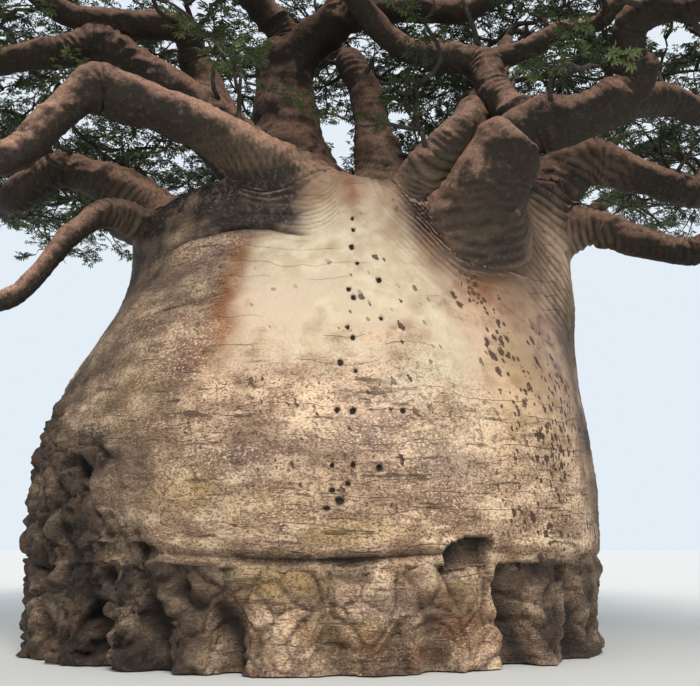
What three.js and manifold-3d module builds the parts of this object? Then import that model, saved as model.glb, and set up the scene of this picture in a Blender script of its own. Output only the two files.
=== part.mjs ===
// A giant baobab: a squat bottle trunk, heavy bent boughs and a flat crown of leafy masses.
//
// Millimetres, +Z up. The origin is the middle of the flat cut at ground level, +X is to the right
// and +Y to the back of the tree. Each bough is a tapering tube along a smooth curve, cut where it
// meets the trunk or the bough that bears it. Each mass of leaves grows from a bough's tip by one
// seeded rule: a stem, limbs that fan out of it, a fork on each limb and folded sprays of leaves.

import * as THREE from "three";
import { mergeVertices } from "three/addons/utils/BufferGeometryUtils.js";
import Module from "manifold-3d";

const wasm = await Module();
wasm.setup();

const DEGREE = Math.PI / 180;
const GOLDEN_TURN = 137.5;
const GAP = 0.35; // left between pieces that touch

// The trunk: half-extents of its section to the left, right, front and back. Each loses some of its
// length between two heights.
const BARREL = {
  left: { foot: 4450, loss: 1400, from: 2600, to: 6000 },
  right: { foot: 4400, loss: 200, from: 2200, to: 4800 },
  front: { foot: 3750, loss: 1350, from: 2800, to: 7000 },
  back: { foot: 3800, loss: 1300, from: 2600, to: 6600 },
};
// The rim, where the wall turns in to the top: its usual height, and how it rises or dips.
const RIM = 6650;
const RIM_SWELLS = [
  { angle: 5, width: 42, rise: 650 },
  { angle: -50, width: 15, rise: -750 },
  { angle: 175, width: 40, rise: -450 },
];
const APEX = { x: 500, y: 200, z: 7250 };
// A crease runs round the barrel at waist height, deepest at the front, and the foot bulges below it.
const CREASE = { height: 1400, depth: 110, reach: 60, angle: -85, width: 60, least: 0.3 };
const WAVE = { rise: 45, count: 5 }; // the crease and the wall above it rise and dip round the trunk
// A broad furrow climbs from the ground to the dip in the rim, where a second lobe joins the barrel.
const FURROW = { angle: -50, depth: 110, width: 10 };
const FLARE = { size: 70, fade: 420 };
// Clefts between the root lobes: direction, depth at the ground, half width and top.
const FRONT_CLEFTS = [
  { angle: -150, depth: 220, width: 4, top: 900 },
  { angle: -135, depth: 420, width: 4.5, top: 1600 },
  { angle: -120, depth: 260, width: 4, top: 1500 },
  { angle: -105, depth: 340, width: 4, top: 1150 },
  { angle: -85, depth: 160, width: 5, top: 900 },
  { angle: -65, depth: 180, width: 5, top: 1000 },
  { angle: -45, depth: 320, width: 4.5, top: 1600 },
  { angle: -30, depth: 220, width: 4.5, top: 1200 },
];
const BACK_CLEFTS = { first: -10, step: 20, count: 11, depth: 240, width: 5, top: 1200, seed: 11 };
// The old scar on the front: a squarish pocket under a lip of bark.
const SCAR = { angle: -57, bottom: 850, top: 1640, width: 780, depth: 230, slope: 220 };
const TRUNK_SIDES = 72;
const WALL_HEIGHTS = [0, 250, 700, 1280, 1400, 1520, 2050, 2700, 3400, 4100, 4900];
const RIM_STEPS = 3;
const CAP_STEPS = 3;

// Boughs. A foot is a point in the trunk; from and joint name a bend of another bough. Each leg is a
// heading, a rise above level, both in degrees, and a length. Radii are at the foot and the tip.
const BOUGHS = {
  front_left_lower: {
    foot: [200, -1500, 6600],
    legs: [[-140, 20, 1350], [-165, 25, 1300], [-165, 15, 1200]],
    radii: [340, 310],
  },
  front_left_outer: {
    from: "front_left_lower", joint: 3,
    legs: [[-145, -45, 850], [-150, -50, 900], [-155, -5, 1350]],
    radii: [290, 200],
  },
  front_left_rise: {
    from: "front_left_outer", joint: 3,
    legs: [[-165, 30, 1700], [-150, 55, 1550]],
    radii: [165, 110],
  },
  left_behind: {
    foot: [0, -300, 6750],
    legs: [
      [-155, 40, 2050], [-155, 30, 1350], [-175, 30, 1150], [-175, -15, 750], [170, 0, 2250],
      [165, 25, 1350],
    ],
    radii: [420, 130],
  },
  upper_left: {
    from: "left_behind", joint: 1,
    legs: [[175, 65, 1350], [-125, 55, 550], [-165, 0, 900], [-175, 10, 1100], [-135, 30, 1800]],
    radii: [310, 120],
  },
  centre_leader: {
    foot: [-250, 300, 6500],
    legs: [[160, 80, 1850], [120, 85, 1750], [-110, 85, 500]],
    radii: [800, 430],
  },
  leader_left: {
    from: "centre_leader", joint: 3,
    legs: [[-155, 45, 700], [-145, 30, 1150], [-155, 15, 1250]],
    radii: [300, 150],
  },
  leader_right: {
    from: "centre_leader", joint: 2,
    legs: [[-15, 35, 1050], [-5, 65, 800], [0, 55, 600]],
    radii: [430, 180],
  },
  top_right: {
    from: "leader_right", joint: 1,
    legs: [[-35, -5, 1350], [-15, -10, 1200], [10, 35, 1150], [10, 40, 1400]],
    radii: [270, 110],
  },
  centre_back: {
    foot: [1200, -900, 6500],
    legs: [[160, 80, 1350], [125, 75, 1100], [140, 65, 750], [90, 20, 2100], [95, 40, 1800]],
    radii: [320, 130],
  },
  centre_right: {
    foot: [1450, -1500, 6200],
    legs: [[-70, 45, 1050], [-30, 45, 550], [30, 50, 600], [70, 40, 3150], [75, 40, 1750]],
    radii: [300, 120],
  },
  right_fork: {
    foot: [2300, -1400, 5700],
    legs: [[-75, 45, 1200], [-40, 55, 700], [-20, 45, 500]],
    radii: [560, 430],
  },
  fork_up: {
    from: "right_fork", joint: 3,
    legs: [[145, 50, 800], [135, 65, 700], [170, 15, 650], [150, 30, 900], [-150, 45, 2850]],
    radii: [290, 110],
  },
  fork_arc: {
    from: "fork_up", joint: 2,
    legs: [[-10, 15, 850], [-10, 25, 450], [-30, 0, 600], [-20, 60, 2050]],
    radii: [170, 100],
  },
  fork_right: {
    from: "right_fork", joint: 3,
    legs: [[-10, 5, 550], [-10, 20, 650], [-20, 40, 450]],
    radii: [380, 310],
  },
  hook: {
    from: "fork_right", joint: 3,
    legs: [
      [-125, 60, 450], [-85, 55, 350], [-45, 10, 450], [-45, -20, 600], [-70, 20, 1150],
      [-60, 40, 1300],
    ],
    radii: [260, 110],
  },
  right_upper: {
    from: "fork_right", joint: 2,
    legs: [[30, 15, 1250], [35, 0, 700], [40, 45, 1200], [25, 45, 1550]],
    radii: [270, 110],
  },
  right_shoulder: {
    foot: [2900, -200, 6700],
    legs: [[-20, 30, 1900], [5, -15, 800], [15, -10, 1050], [60, 25, 1600], [50, 40, 1950]],
    radii: [380, 120],
  },
  right_lower: {
    foot: [3000, -300, 6350],
    legs: [[-10, 10, 1500], [-10, -20, 850], [-20, -15, 900], [-40, 30, 1750], [-45, 35, 2050]],
    radii: [290, 120],
  },
  left_shoulder: {
    foot: [-1700, 0, 6000],
    legs: [
      [-160, 40, 1700], [-165, 25, 750], [-170, 10, 650], [155, -20, 850], [130, 10, 1950],
      [130, 35, 2200],
    ],
    radii: [400, 120],
  },
  left_low: {
    foot: [-1900, -700, 6100],
    legs: [[-145, 15, 1550], [-130, -35, 750], [-145, -50, 1550], [-170, 20, 1800], [180, 45, 1600]],
    radii: [190, 80],
  },
  back_left: {
    foot: [-1300, 1000, 6400],
    legs: [[135, 30, 2550], [125, 10, 2450], [125, 30, 2400]],
    radii: [420, 120],
  },
  back_left_inner: {
    foot: [-400, 1500, 6700],
    legs: [[125, 40, 2250], [135, 45, 2050], [160, 45, 1900]],
    radii: [300, 110],
  },
  back_centre_left: {
    foot: [-100, 1900, 6300],
    legs: [[100, 30, 2250], [115, 15, 2400], [105, 35, 2450]],
    radii: [400, 120],
  },
  back_centre_right: {
    foot: [900, 1900, 6400],
    legs: [[60, 30, 2450], [75, 15, 2100], [70, 40, 2300]],
    radii: [380, 120],
  },
  back_right_inner: {
    foot: [1400, 1300, 6800],
    legs: [[60, 45, 2050], [40, 45, 2200], [55, 50, 1850]],
    radii: [300, 110],
  },
  back_right: {
    foot: [2300, 1100, 6400],
    legs: [[40, 25, 2500], [60, 15, 2250], [40, 35, 2300]],
    radii: [420, 120],
  },
  front_top_left: {
    from: "leader_left", joint: 2,
    legs: [[-115, -5, 2650], [-110, 0, 2150]],
    radii: [180, 110],
  },
  front_top_right: {
    from: "leader_right", joint: 2,
    legs: [[-75, -5, 2400], [-75, 0, 2600]],
    radii: [200, 110],
  },
};
const COLLAR = { swell: 0.45, reach: 1500 }; // a bough thickens where it leaves the trunk
const SLENDER = 305; // foot radius under which a bough has fewer sides
const BOUGH_SIDES = { thick: 8, slender: 6 };
const RINGS_PER_LEG = 2;
const HEEL = { length: 1.2, sharpest: 75 }; // in radii of its bough, and the most it may turn

// Masses of leaves: the bough that bears each, and the half width and half height of its space,
// which lies ahead of the bough's tip and a little above it.
const MASSES = {
  front_left: { bough: "front_left_rise" },
  left: { bough: "left_behind" },
  upper_left: { bough: "upper_left" },
  top_left: { bough: "leader_left" },
  top: { bough: "leader_right" },
  top_right: { bough: "top_right" },
  back_inner: { bough: "centre_back" },
  back_inner_right: { bough: "centre_right" },
  front_inner: { bough: "fork_up" },
  front_inner_right: { bough: "fork_arc" },
  front_right: { bough: "hook" },
  right: { bough: "right_upper" },
  right_back: { bough: "right_shoulder" },
  right_low: { bough: "right_lower" },
  left_back: { bough: "left_shoulder" },
  left_low: { bough: "left_low", width: 1900, height: 1100 },
  back_left: { bough: "back_left" },
  back_left_inner: { bough: "back_left_inner" },
  back_centre_left: { bough: "back_centre_left" },
  back_centre_right: { bough: "back_centre_right" },
  back_right_inner: { bough: "back_right_inner" },
  back_right: { bough: "back_right" },
  front_top_left: { bough: "front_top_left" },
  front_top_right: { bough: "front_top_right" },
};
const SPACE = { width: 3000, height: 1650, ahead: 1500, above: 700, margin: 110 };
const FIRST_SEED = 101;
// The parts of a mass. Places are shares of the bearer's length, spreads and turns are degrees.
const STEM = { length: 1150, radius: 95, taper: 0.8 };
const LIMB = {
  count: 5, lowest: 0.4, highest: 0.97, spread: 52, looseness: 26, wander: 35,
  radius: 62, most: 2400, least: 400,
};
const FORK = { place: 0.5, turn: 75, spread: 48, wander: 57, radius: 36, most: 1500, least: 300 };
const TRIES = [0, 35, -35]; // degrees that a twig may turn aside for more room
const TWIG = { taper: 0.8, flatten: 0.55, lift: 0.1, clearance: 60 };
const SPRAY = {
  spacing: 1200, bare: 0.25, spread: 48, wander: 57, sink: 26,
  length: 1400, looseness: 0.25, shortest: 700, width: 0.55, widest: 0.55, fold: 0.12,
};

const MATERIALS = {
  bark: new THREE.MeshStandardMaterial({ color: 0xa98a73, roughness: 0.85, metalness: 0 }),
  limb: new THREE.MeshStandardMaterial({ color: 0x7c675b, roughness: 0.85, metalness: 0 }),
  leaf: new THREE.MeshStandardMaterial({ color: 0x5f7d34, roughness: 0.7, metalness: 0 }),
};

// Number helpers

function smooth(low, high, value) {
  const t = THREE.MathUtils.clamp((value - low) / (high - low), 0, 1);
  return t * t * (3 - 2 * t);
}

function bump(offset, width) {
  return Math.exp(-((offset / width) ** 2));
}

// The smallest turn from one direction to another, in degrees.
function turnBetween(a, b) {
  return THREE.MathUtils.euclideanModulo(a - b + 180, 360) - 180;
}

// A seeded row of numbers from 0 to 1, the same on every run.
function dice(seed) {
  let state = seed >>> 0;
  return () => {
    state = (Math.imul(state, 1664525) + 1013904223) >>> 0;
    return state / 2 ** 32;
  };
}

// The direction with a heading and a rise above level, both in degrees.
function heading(degrees, rise) {
  const level = Math.cos(rise * DEGREE);
  return new THREE.Vector3(
    level * Math.cos(degrees * DEGREE),
    level * Math.sin(degrees * DEGREE),
    Math.sin(rise * DEGREE),
  );
}

// Solids

// A closed skin over rings of points, with a fan of faces over each end.
function loft(rings) {
  const sides = rings[0].length;
  const middle = (ring) =>
    ring.reduce((sum, p) => sum.add(p), new THREE.Vector3()).divideScalar(sides);
  const points = [...rings.flat(), middle(rings[0]), middle(rings.at(-1))];
  const [low, high] = [points.length - 2, points.length - 1];
  const last = (rings.length - 1) * sides;
  const faces = [];
  for (let side = 0; side < sides; side += 1) {
    const next = (side + 1) % sides;
    faces.push(low, next, side, high, last + side, last + next);
    for (let ring = 0; ring < last; ring += sides) {
      const [a, b] = [ring + side, ring + next];
      faces.push(a, b, b + sides, a, b + sides, a + sides);
    }
  }
  return new THREE.BufferGeometry().setFromPoints(points).setIndex(faces);
}

// A three-sided prism, which is a twig.
function prism([a, b, c], [d, e, f]) {
  const faces = [0, 2, 1, 3, 4, 5, 0, 1, 4, 0, 4, 3, 1, 2, 5, 1, 5, 4, 2, 0, 3, 2, 3, 5];
  return new THREE.BufferGeometry().setFromPoints([a, b, c, d, e, f]).setIndex(faces);
}

function solidOf(geometry) {
  const merged = mergeVertices(geometry, 1e-3);
  return new wasm.Manifold(
    new wasm.Mesh({
      numProp: 3,
      vertProperties: merged.attributes.position.array,
      triVerts: new Uint32Array(merged.index.array),
    }),
  );
}

function largestBody(solid) {
  return solid.decompose().reduce((a, b) => (b.volume() > a.volume() ? b : a));
}

function meshOf(name, solid, material) {
  const { vertProperties, triVerts } = solid.getMesh();
  const geometry = new THREE.BufferGeometry()
    .setAttribute("position", new THREE.BufferAttribute(new Float32Array(vertProperties), 3))
    .setIndex(new THREE.BufferAttribute(new Uint32Array(triVerts), 1));
  const mesh = new THREE.Mesh(geometry, material);
  mesh.name = name;
  return mesh;
}

// Trunk

function allClefts() {
  const { first, step, count, depth, width, top, seed } = BACK_CLEFTS;
  const roll = dice(seed);
  const back = Array.from({ length: count }, (_, i) => ({
    angle: first + step * i,
    depth: depth * (0.6 + 0.8 * roll()),
    width: width * (0.8 + 0.4 * roll()),
    top: top * (0.7 + 0.6 * roll()),
  }));
  return [...FRONT_CLEFTS, ...back];
}

const CLEFTS = allClefts();

function halfExtent(side, height) {
  const { foot, loss, from, to } = BARREL[side];
  return foot - loss * smooth(from, to, height);
}

// The section is four quarter ellipses, one for each pair of half-extents.
function barrelRadius(angle, height) {
  const [c, s] = [Math.cos(angle * DEGREE), Math.sin(angle * DEGREE)];
  const across = halfExtent(c < 0 ? "left" : "right", height);
  const deep = halfExtent(s < 0 ? "front" : "back", height);
  return 1 / Math.hypot(c / across, s / deep);
}

function trunkRadius(angle, height) {
  const { least, depth, reach } = CREASE;
  const front = least + (1 - least) * bump(turnBetween(angle, CREASE.angle), CREASE.width);
  const crease = depth * front * bump(height - CREASE.height, reach);
  const furrow = FURROW.depth * bump(turnBetween(angle, FURROW.angle), FURROW.width);
  const flare = FLARE.size * Math.exp(-height / FLARE.fade);
  const cleft = CLEFTS.reduce(
    (sum, { angle: at, depth: most, width, top }) =>
      sum + most * bump(turnBetween(angle, at), width) * (1 - smooth(0, top, height)),
    0,
  );
  return barrelRadius(angle, height) + flare - crease - furrow - cleft;
}

function rimHeight(angle) {
  return RIM_SWELLS.reduce(
    (sum, { angle: at, width, rise }) => sum + rise * bump(turnBetween(angle, at), width),
    RIM,
  );
}

// A ring of the wall or, past the rim, of the rounded top that closes on the apex.
function trunkRing(wall, cap, grow) {
  return Array.from({ length: TRUNK_SIDES }, (_, i) => {
    const angle = (360 * i) / TRUNK_SIDES;
    const rim = rimHeight(angle);
    const straight = WALL_HEIGHTS.at(-1);
    const height = wall < straight ? wall : straight + (rim - straight) * (wall / straight - 1);
    const radius = trunkRadius(angle, height) + grow;
    const wave = WAVE.rise * Math.sin(WAVE.count * angle * DEGREE) * smooth(0, CREASE.height, height);
    const [inward, up] = [Math.cos((cap * Math.PI) / 2), Math.sin((cap * Math.PI) / 2)];
    return new THREE.Vector3(
      APEX.x * (1 - inward) + radius * Math.cos(angle * DEGREE) * inward,
      APEX.y * (1 - inward) + radius * Math.sin(angle * DEGREE) * inward,
      height + wave * inward + (APEX.z - height) * up + grow,
    );
  });
}

function trunkSkin(grow = 0) {
  const straight = WALL_HEIGHTS.at(-1);
  const walls = WALL_HEIGHTS.map((height) => trunkRing(height, 0, grow));
  const rims = Array.from({ length: RIM_STEPS }, (_, i) =>
    trunkRing(straight * (1 + (i + 1) / RIM_STEPS), 0, grow),
  );
  const caps = Array.from({ length: CAP_STEPS }, (_, i) =>
    trunkRing(2 * straight, (i + 1) / (CAP_STEPS + 0.5), grow),
  );
  if (grow === 0) walls[0].forEach((p) => p.setZ(0));
  return solidOf(loft([...walls, ...rims, ...caps]));
}

// The scar's pocket narrows inwards, and its floor slopes out to the bark.
function scarPocket() {
  const { angle, bottom, top, width, depth, slope } = SCAR;
  const outward = heading(angle, 0);
  const across = heading(angle + 90, 0);
  const face = trunkRadius(angle, top);
  const slice = (inward) =>
    [[-1, 0], [1, 0], [1, 1], [-1, 1]].map(([side, up]) =>
      outward
        .clone()
        .multiplyScalar(face - inward * depth)
        .addScaledVector(across, side * width * (0.5 - 0.12 * inward))
        .setZ(up ? top : bottom + inward * slope),
    );
  return solidOf(loft([slice(1), slice(-1)]));
}

// Boughs

function boughJoints(name) {
  const { foot, from, joint, legs } = BOUGHS[name];
  const joints = [foot ? new THREE.Vector3(...foot) : boughJoints(from)[joint]];
  for (const [turn, rise, length] of legs) {
    joints.push(joints.at(-1).clone().addScaledVector(heading(turn, rise), length));
  }
  return joints;
}

// A bough that carries on from another's tip has its heel inside that bough, so that it turns
// smoothly out of it.
function withHeel(name) {
  const { from, joint, radii } = BOUGHS[name];
  const joints = boughJoints(name);
  if (!from || joint < BOUGHS[from].legs.length) return joints;
  const back = boughJoints(from)[joint - 1].sub(joints[0]);
  const turn = 180 - back.angleTo(joints[1].clone().sub(joints[0])) / DEGREE;
  if (turn > HEEL.sharpest) return joints;
  return [back.setLength(HEEL.length * radii[0]).add(joints[0]), ...joints];
}

// The smooth path through a bough's joints: at each stop its place, its direction, the side that
// its section is turned to, and its radius, which shrinks evenly along the way.
function boughPath(name) {
  const { foot, radii } = BOUGHS[name];
  const joints = withHeel(name);
  const curve = new THREE.CatmullRomCurve3(joints, false, "centripetal");
  const steps = (joints.length - 1) * RINGS_PER_LEG;
  const stops = [];
  let travelled = 0;
  for (let step = 0; step <= steps; step += 1) {
    const point = curve.getPoint(step / steps);
    const along = curve.getTangent(step / steps);
    const before = stops.at(-1);
    const side = before ? before.side.clone() : new THREE.Vector3(-along.y, along.x, 0).normalize();
    if (before) {
      travelled += before.point.distanceTo(point);
      side.applyQuaternion(new THREE.Quaternion().setFromUnitVectors(before.along, along));
    }
    stops.push({ point, along, side, travelled });
  }
  return stops.map((stop) => {
    const collar = foot ? radii[0] * COLLAR.swell * bump(stop.travelled, COLLAR.reach) : 0;
    const radius = THREE.MathUtils.lerp(radii[0], radii[1], stop.travelled / travelled) + collar;
    return { ...stop, radius };
  });
}

const paths = Object.fromEntries(Object.keys(BOUGHS).map((name) => [name, boughPath(name)]));

function boughSkin(name, grow = 0) {
  const sides = BOUGHS[name].radii[0] < SLENDER ? BOUGH_SIDES.slender : BOUGH_SIDES.thick;
  const rings = paths[name].map(({ point, along, side, radius }) => {
    const up = along.clone().cross(side);
    return Array.from({ length: sides }, (_, corner) => {
      const turn = (2 * Math.PI * corner) / sides;
      return point
        .clone()
        .addScaledVector(side, (radius + grow) * Math.cos(turn))
        .addScaledVector(up, (radius + grow) * Math.sin(turn));
    });
  });
  rings[0].forEach((p) => p.addScaledVector(paths[name][0].along, -grow));
  rings.at(-1).forEach((p) => p.addScaledVector(paths[name].at(-1).along, grow));
  return solidOf(loft(rings));
}

function boxesMeet(a, b) {
  const [p, q] = [a.boundingBox(), b.boundingBox()];
  return [0, 1, 2].every((axis) => p.min[axis] < q.max[axis] && q.min[axis] < p.max[axis]);
}

// Each bough is cut by the trunk and by the boughs before it, all grown by the gap.
function cutBoughs() {
  const cutters = [trunkSkin(GAP)];
  return Object.keys(BOUGHS).map((name) => {
    const near = cutters.filter((cutter) => boxesMeet(cutter, boughSkin(name)));
    const cut = near.reduce((solid, cutter) => solid.subtract(cutter), boughSkin(name));
    cutters.push(boughSkin(name, GAP));
    return meshOf("bough_" + name, largestBody(cut), MATERIALS.limb);
  });
}

// Masses of leaves

function massFrame(name) {
  const { bough, width = SPACE.width, height = SPACE.height } = MASSES[name];
  const { point, along, radius } = paths[bough].at(-1);
  const level = along.clone().setZ(0).normalize();
  const centre = point
    .clone()
    .addScaledVector(level, (SPACE.ahead * width) / SPACE.width)
    .add(new THREE.Vector3(0, 0, SPACE.above));
  const root = point.clone().addScaledVector(along, GAP);
  return { name, root, along, centre, width, height, thick: radius };
}

const frames = Object.keys(MASSES).map(massFrame);

// A point is in a mass's own space if it is in its ellipsoid and nearer its centre than any other's.
function inSpace(frame, point, margin) {
  const away = point.clone().sub(frame.centre);
  const share = Math.hypot(away.x / frame.width, away.y / frame.width, away.z / frame.height);
  return (
    share < 1 &&
    frames.every((other) => {
      if (other === frame) return true;
      const between = other.centre.distanceTo(frame.centre);
      const excess = point.distanceToSquared(other.centre) - point.distanceToSquared(frame.centre);
      return excess / (2 * between) > margin;
    })
  );
}

// Stretches of bough and stem that twigs and leaves keep clear of.
const obstacles = [
  ...Object.values(paths).flatMap((stops) =>
    stops.slice(1).map((stop, i) => ({
      line: new THREE.Line3(stops[i].point, stop.point),
      radius: stops[i].radius,
    })),
  ),
  ...frames.map(({ name, root, along }) => ({
    owner: name,
    line: new THREE.Line3(root, root.clone().addScaledVector(along, STEM.length)),
    radius: STEM.radius,
  })),
];

function touchesLimb(frame, point, clearance) {
  const nearest = new THREE.Vector3();
  return obstacles.some(({ owner, line, radius }) => {
    if (owner === frame.name) return false;
    line.closestPointToPoint(point, true, nearest);
    return nearest.distanceTo(point) < radius + clearance;
  });
}

// How far growth can go before it leaves its space or nears a limb.
function room(frame, from, direction, most) {
  const step = 100;
  let far = 0;
  while (far < most) {
    const next = from.clone().addScaledVector(direction, far + step);
    if (!inSpace(frame, next, SPACE.margin)) break;
    if (touchesLimb(frame, next, TWIG.clearance + SPACE.margin)) break;
    far += step;
  }
  return far;
}


// A direction that leans away from another by a spread, turned about it.
function leaning(direction, turn, spread) {
  const side = new THREE.Vector3(-direction.y, direction.x, 0).normalize();
  return direction
    .clone()
    .applyAxisAngle(side, spread)
    .applyAxisAngle(direction, turn);
}

// Twigs lie flatter than they would by chance, and a little upwards.
function settled(direction) {
  return direction.setZ(direction.z * TWIG.flatten + TWIG.lift).normalize();
}

// A twig takes the roomiest of a few turns about its bearer, and stops short enough for a spray of
// leaves to carry on from its tip. Where there is no room it doesn't grow.
function growTwigs(frame, from, bearing, turn, spread, { most, least, radius }) {
  const ways = TRIES.map((extra) => settled(leaning(bearing, (turn + extra) * DEGREE, spread * DEGREE)));
  const grown = ways.map((direction) => {
    const length = room(frame, from, direction, most + SPRAY.length) - SPRAY.length;
    return { from, direction, length, radius };
  });
  const longest = grown.reduce((a, b) => (b.length > a.length ? b : a));
  return longest.length < least ? [] : [longest];
}

function twigSkin({ from, direction, length, radius, taper = TWIG.taper }) {
  const side = new THREE.Vector3(-direction.y, direction.x, 0).normalize();
  const up = direction.clone().cross(side);
  const ring = (far, size) =>
    [0, 1, 2].map((corner) => {
      const turn = (corner * 120 + 90) * DEGREE;
      return from
        .clone()
        .addScaledVector(direction, far)
        .addScaledVector(side, size * Math.cos(turn))
        .addScaledVector(up, size * Math.sin(turn));
    });
  return solidOf(prism(ring(0, radius), ring(length, radius * taper)));
}

// A spray of leaves is one folded blade: its root and tip are the keel, and its flanks stand higher.
function sprayPoints({ root, direction, length }) {
  const side = new THREE.Vector3(-direction.y, direction.x, 0).normalize();
  const up = direction.clone().cross(side);
  const flanks = root
    .clone()
    .addScaledVector(direction, SPRAY.widest * length)
    .addScaledVector(up, SPRAY.fold * length);
  return [
    root,
    root.clone().addScaledVector(direction, length),
    flanks.clone().addScaledVector(side, 0.5 * SPRAY.width * length),
    flanks.clone().addScaledVector(side, -0.5 * SPRAY.width * length),
  ];
}

function spraySkin(spray) {
  const faces = [0, 2, 1, 0, 1, 3, 0, 3, 2, 1, 2, 3];
  return solidOf(new THREE.BufferGeometry().setFromPoints(sprayPoints(spray)).setIndex(faces));
}

// The sprays of one twig stand round it, and the last points on from its tip.
function twigSprays(frame, twig, roll) {
  const leafy = 1 - SPRAY.bare;
  const count = Math.ceil((leafy * twig.length) / SPRAY.spacing);
  return Array.from({ length: count }, (_, i) => {
    const share = 1 - (leafy * i) / count;
    const spread = i === 0 ? 0 : SPRAY.spread * DEGREE;
    const turn = i * GOLDEN_TURN + SPRAY.wander * roll();
    const direction = settled(leaning(twig.direction, turn * DEGREE, spread));
    const root = twig.from.clone().addScaledVector(twig.direction, twig.length * share - SPRAY.sink);
    const length = room(frame, root, direction, SPRAY.length * (1 - SPRAY.looseness * roll()));
    return { root, direction, length };
  }).filter((spray) => {
    const clear = (point) => inSpace(frame, point, GAP) && !touchesLimb(frame, point, TWIG.clearance);
    return spray.length > SPRAY.shortest && sprayPoints(spray).every(clear);
  });
}

// The rule of growth: a stem, limbs round it and, on each limb, a fork to one side or the other.
function growMass(frame, seed) {
  const roll = dice(seed);
  const stem = {
    from: frame.root,
    direction: frame.along,
    length: STEM.length,
    radius: Math.min(STEM.radius, STEM.taper * frame.thick),
    taper: STEM.taper,
  };
  const twigs = [stem];
  for (let limb = 0; limb < LIMB.count; limb += 1) {
    const share = THREE.MathUtils.lerp(LIMB.lowest, LIMB.highest, limb / (LIMB.count - 1));
    const from = stem.from.clone().addScaledVector(stem.direction, share * stem.length);
    const spread = limb === LIMB.count - 1 ? 0 : LIMB.spread + LIMB.looseness * roll();
    const turn = limb * GOLDEN_TURN + LIMB.wander * roll();
    for (const twig of growTwigs(frame, from, stem.direction, turn, spread, LIMB)) {
      const foot = from.clone().addScaledVector(twig.direction, FORK.place * twig.length);
      const side = (limb % 2 ? FORK.turn : -FORK.turn) + FORK.wander * roll();
      twigs.push(twig, ...growTwigs(frame, foot, twig.direction, side, FORK.spread, FORK));
    }
  }
  const sprays = twigs.slice(1).flatMap((twig) => twigSprays(frame, twig, roll));
  return { twigs, sprays };
}

function massMesh(frame, index) {
  const { twigs, sprays } = growMass(frame, FIRST_SEED + index);
  const solids = [...twigs.map(twigSkin), ...sprays.map(spraySkin)];
  const fused = solids.reduce((sum, solid) => sum.add(solid));
  return meshOf("leaves_" + frame.name, largestBody(fused), MATERIALS.leaf);
}

const tree = new THREE.Group();
tree.add(meshOf("trunk", largestBody(trunkSkin().subtract(scarPocket())), MATERIALS.bark));
tree.add(...cutBoughs());
tree.add(...frames.map(massMesh));

export default tree;
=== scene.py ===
# %% [markdown]
# # An old baobab, grown over a frame of plain solids
# A baobab is a bottle of soft, wet wood with a thin skin. It has three kinds of surface: the smooth
# and lumpy barrel, the crooked boughs with their folds and knobs, and a thin crown of fine twigs.
# A frame of plain solids gives their places. This lesson grows bark, twigs and leaves over them.

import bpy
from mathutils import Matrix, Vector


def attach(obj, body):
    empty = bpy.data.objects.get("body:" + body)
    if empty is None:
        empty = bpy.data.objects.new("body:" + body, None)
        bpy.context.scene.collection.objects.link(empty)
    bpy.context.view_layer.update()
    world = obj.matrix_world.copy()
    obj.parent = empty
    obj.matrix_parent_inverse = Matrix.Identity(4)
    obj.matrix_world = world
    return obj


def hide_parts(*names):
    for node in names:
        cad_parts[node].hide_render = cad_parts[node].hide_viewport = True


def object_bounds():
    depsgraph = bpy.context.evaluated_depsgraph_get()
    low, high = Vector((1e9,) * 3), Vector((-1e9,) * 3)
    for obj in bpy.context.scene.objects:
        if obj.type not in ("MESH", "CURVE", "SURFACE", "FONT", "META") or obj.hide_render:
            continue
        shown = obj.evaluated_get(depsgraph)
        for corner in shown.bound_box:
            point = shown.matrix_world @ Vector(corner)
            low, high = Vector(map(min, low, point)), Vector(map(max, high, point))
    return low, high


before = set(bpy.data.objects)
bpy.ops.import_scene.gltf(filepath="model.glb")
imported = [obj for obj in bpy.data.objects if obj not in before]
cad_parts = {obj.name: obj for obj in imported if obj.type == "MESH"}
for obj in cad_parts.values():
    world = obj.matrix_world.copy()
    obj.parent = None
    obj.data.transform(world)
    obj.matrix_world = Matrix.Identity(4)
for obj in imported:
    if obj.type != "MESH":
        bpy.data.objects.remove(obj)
cad_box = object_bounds()
print("frame from", [round(v, 2) for v in cad_box[0]], "to", [round(v, 2) for v in cad_box[1]])

# %% The tools of this lesson
import itertools

import bpy
import numpy as np

# %% [markdown]
# ## Where the viewer stands
# The picture is taken at eye height, 16 m in front of the trunk and a little to its right, with
# the camera tipped up, so that the barrel fills the frame and the crown runs out of it. A lens of
# 36 mm times 1000 / 700 gives the same pull of perspective as the picture.

# %% Camera
camera = bpy.data.objects.new("camera", bpy.data.cameras.new("camera"))
camera.location = (0.55, -16.2, 1.6)
TIPPED_UP = 11.14  # degrees above level
camera.rotation_euler = (np.radians(90 + TIPPED_UP), 0, 0)
camera.data.lens = 36 * 1000 / 700
bpy.context.collection.objects.link(camera)
bpy.context.scene.camera = camera

# %% [markdown]
# ## A plain place to stand it
# A pale floor and a pale sky keep the eye on the tree. The light is that of a bright, clouded
# day: a white sky all round and one broad lamp, high in front and a little to the right.

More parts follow.
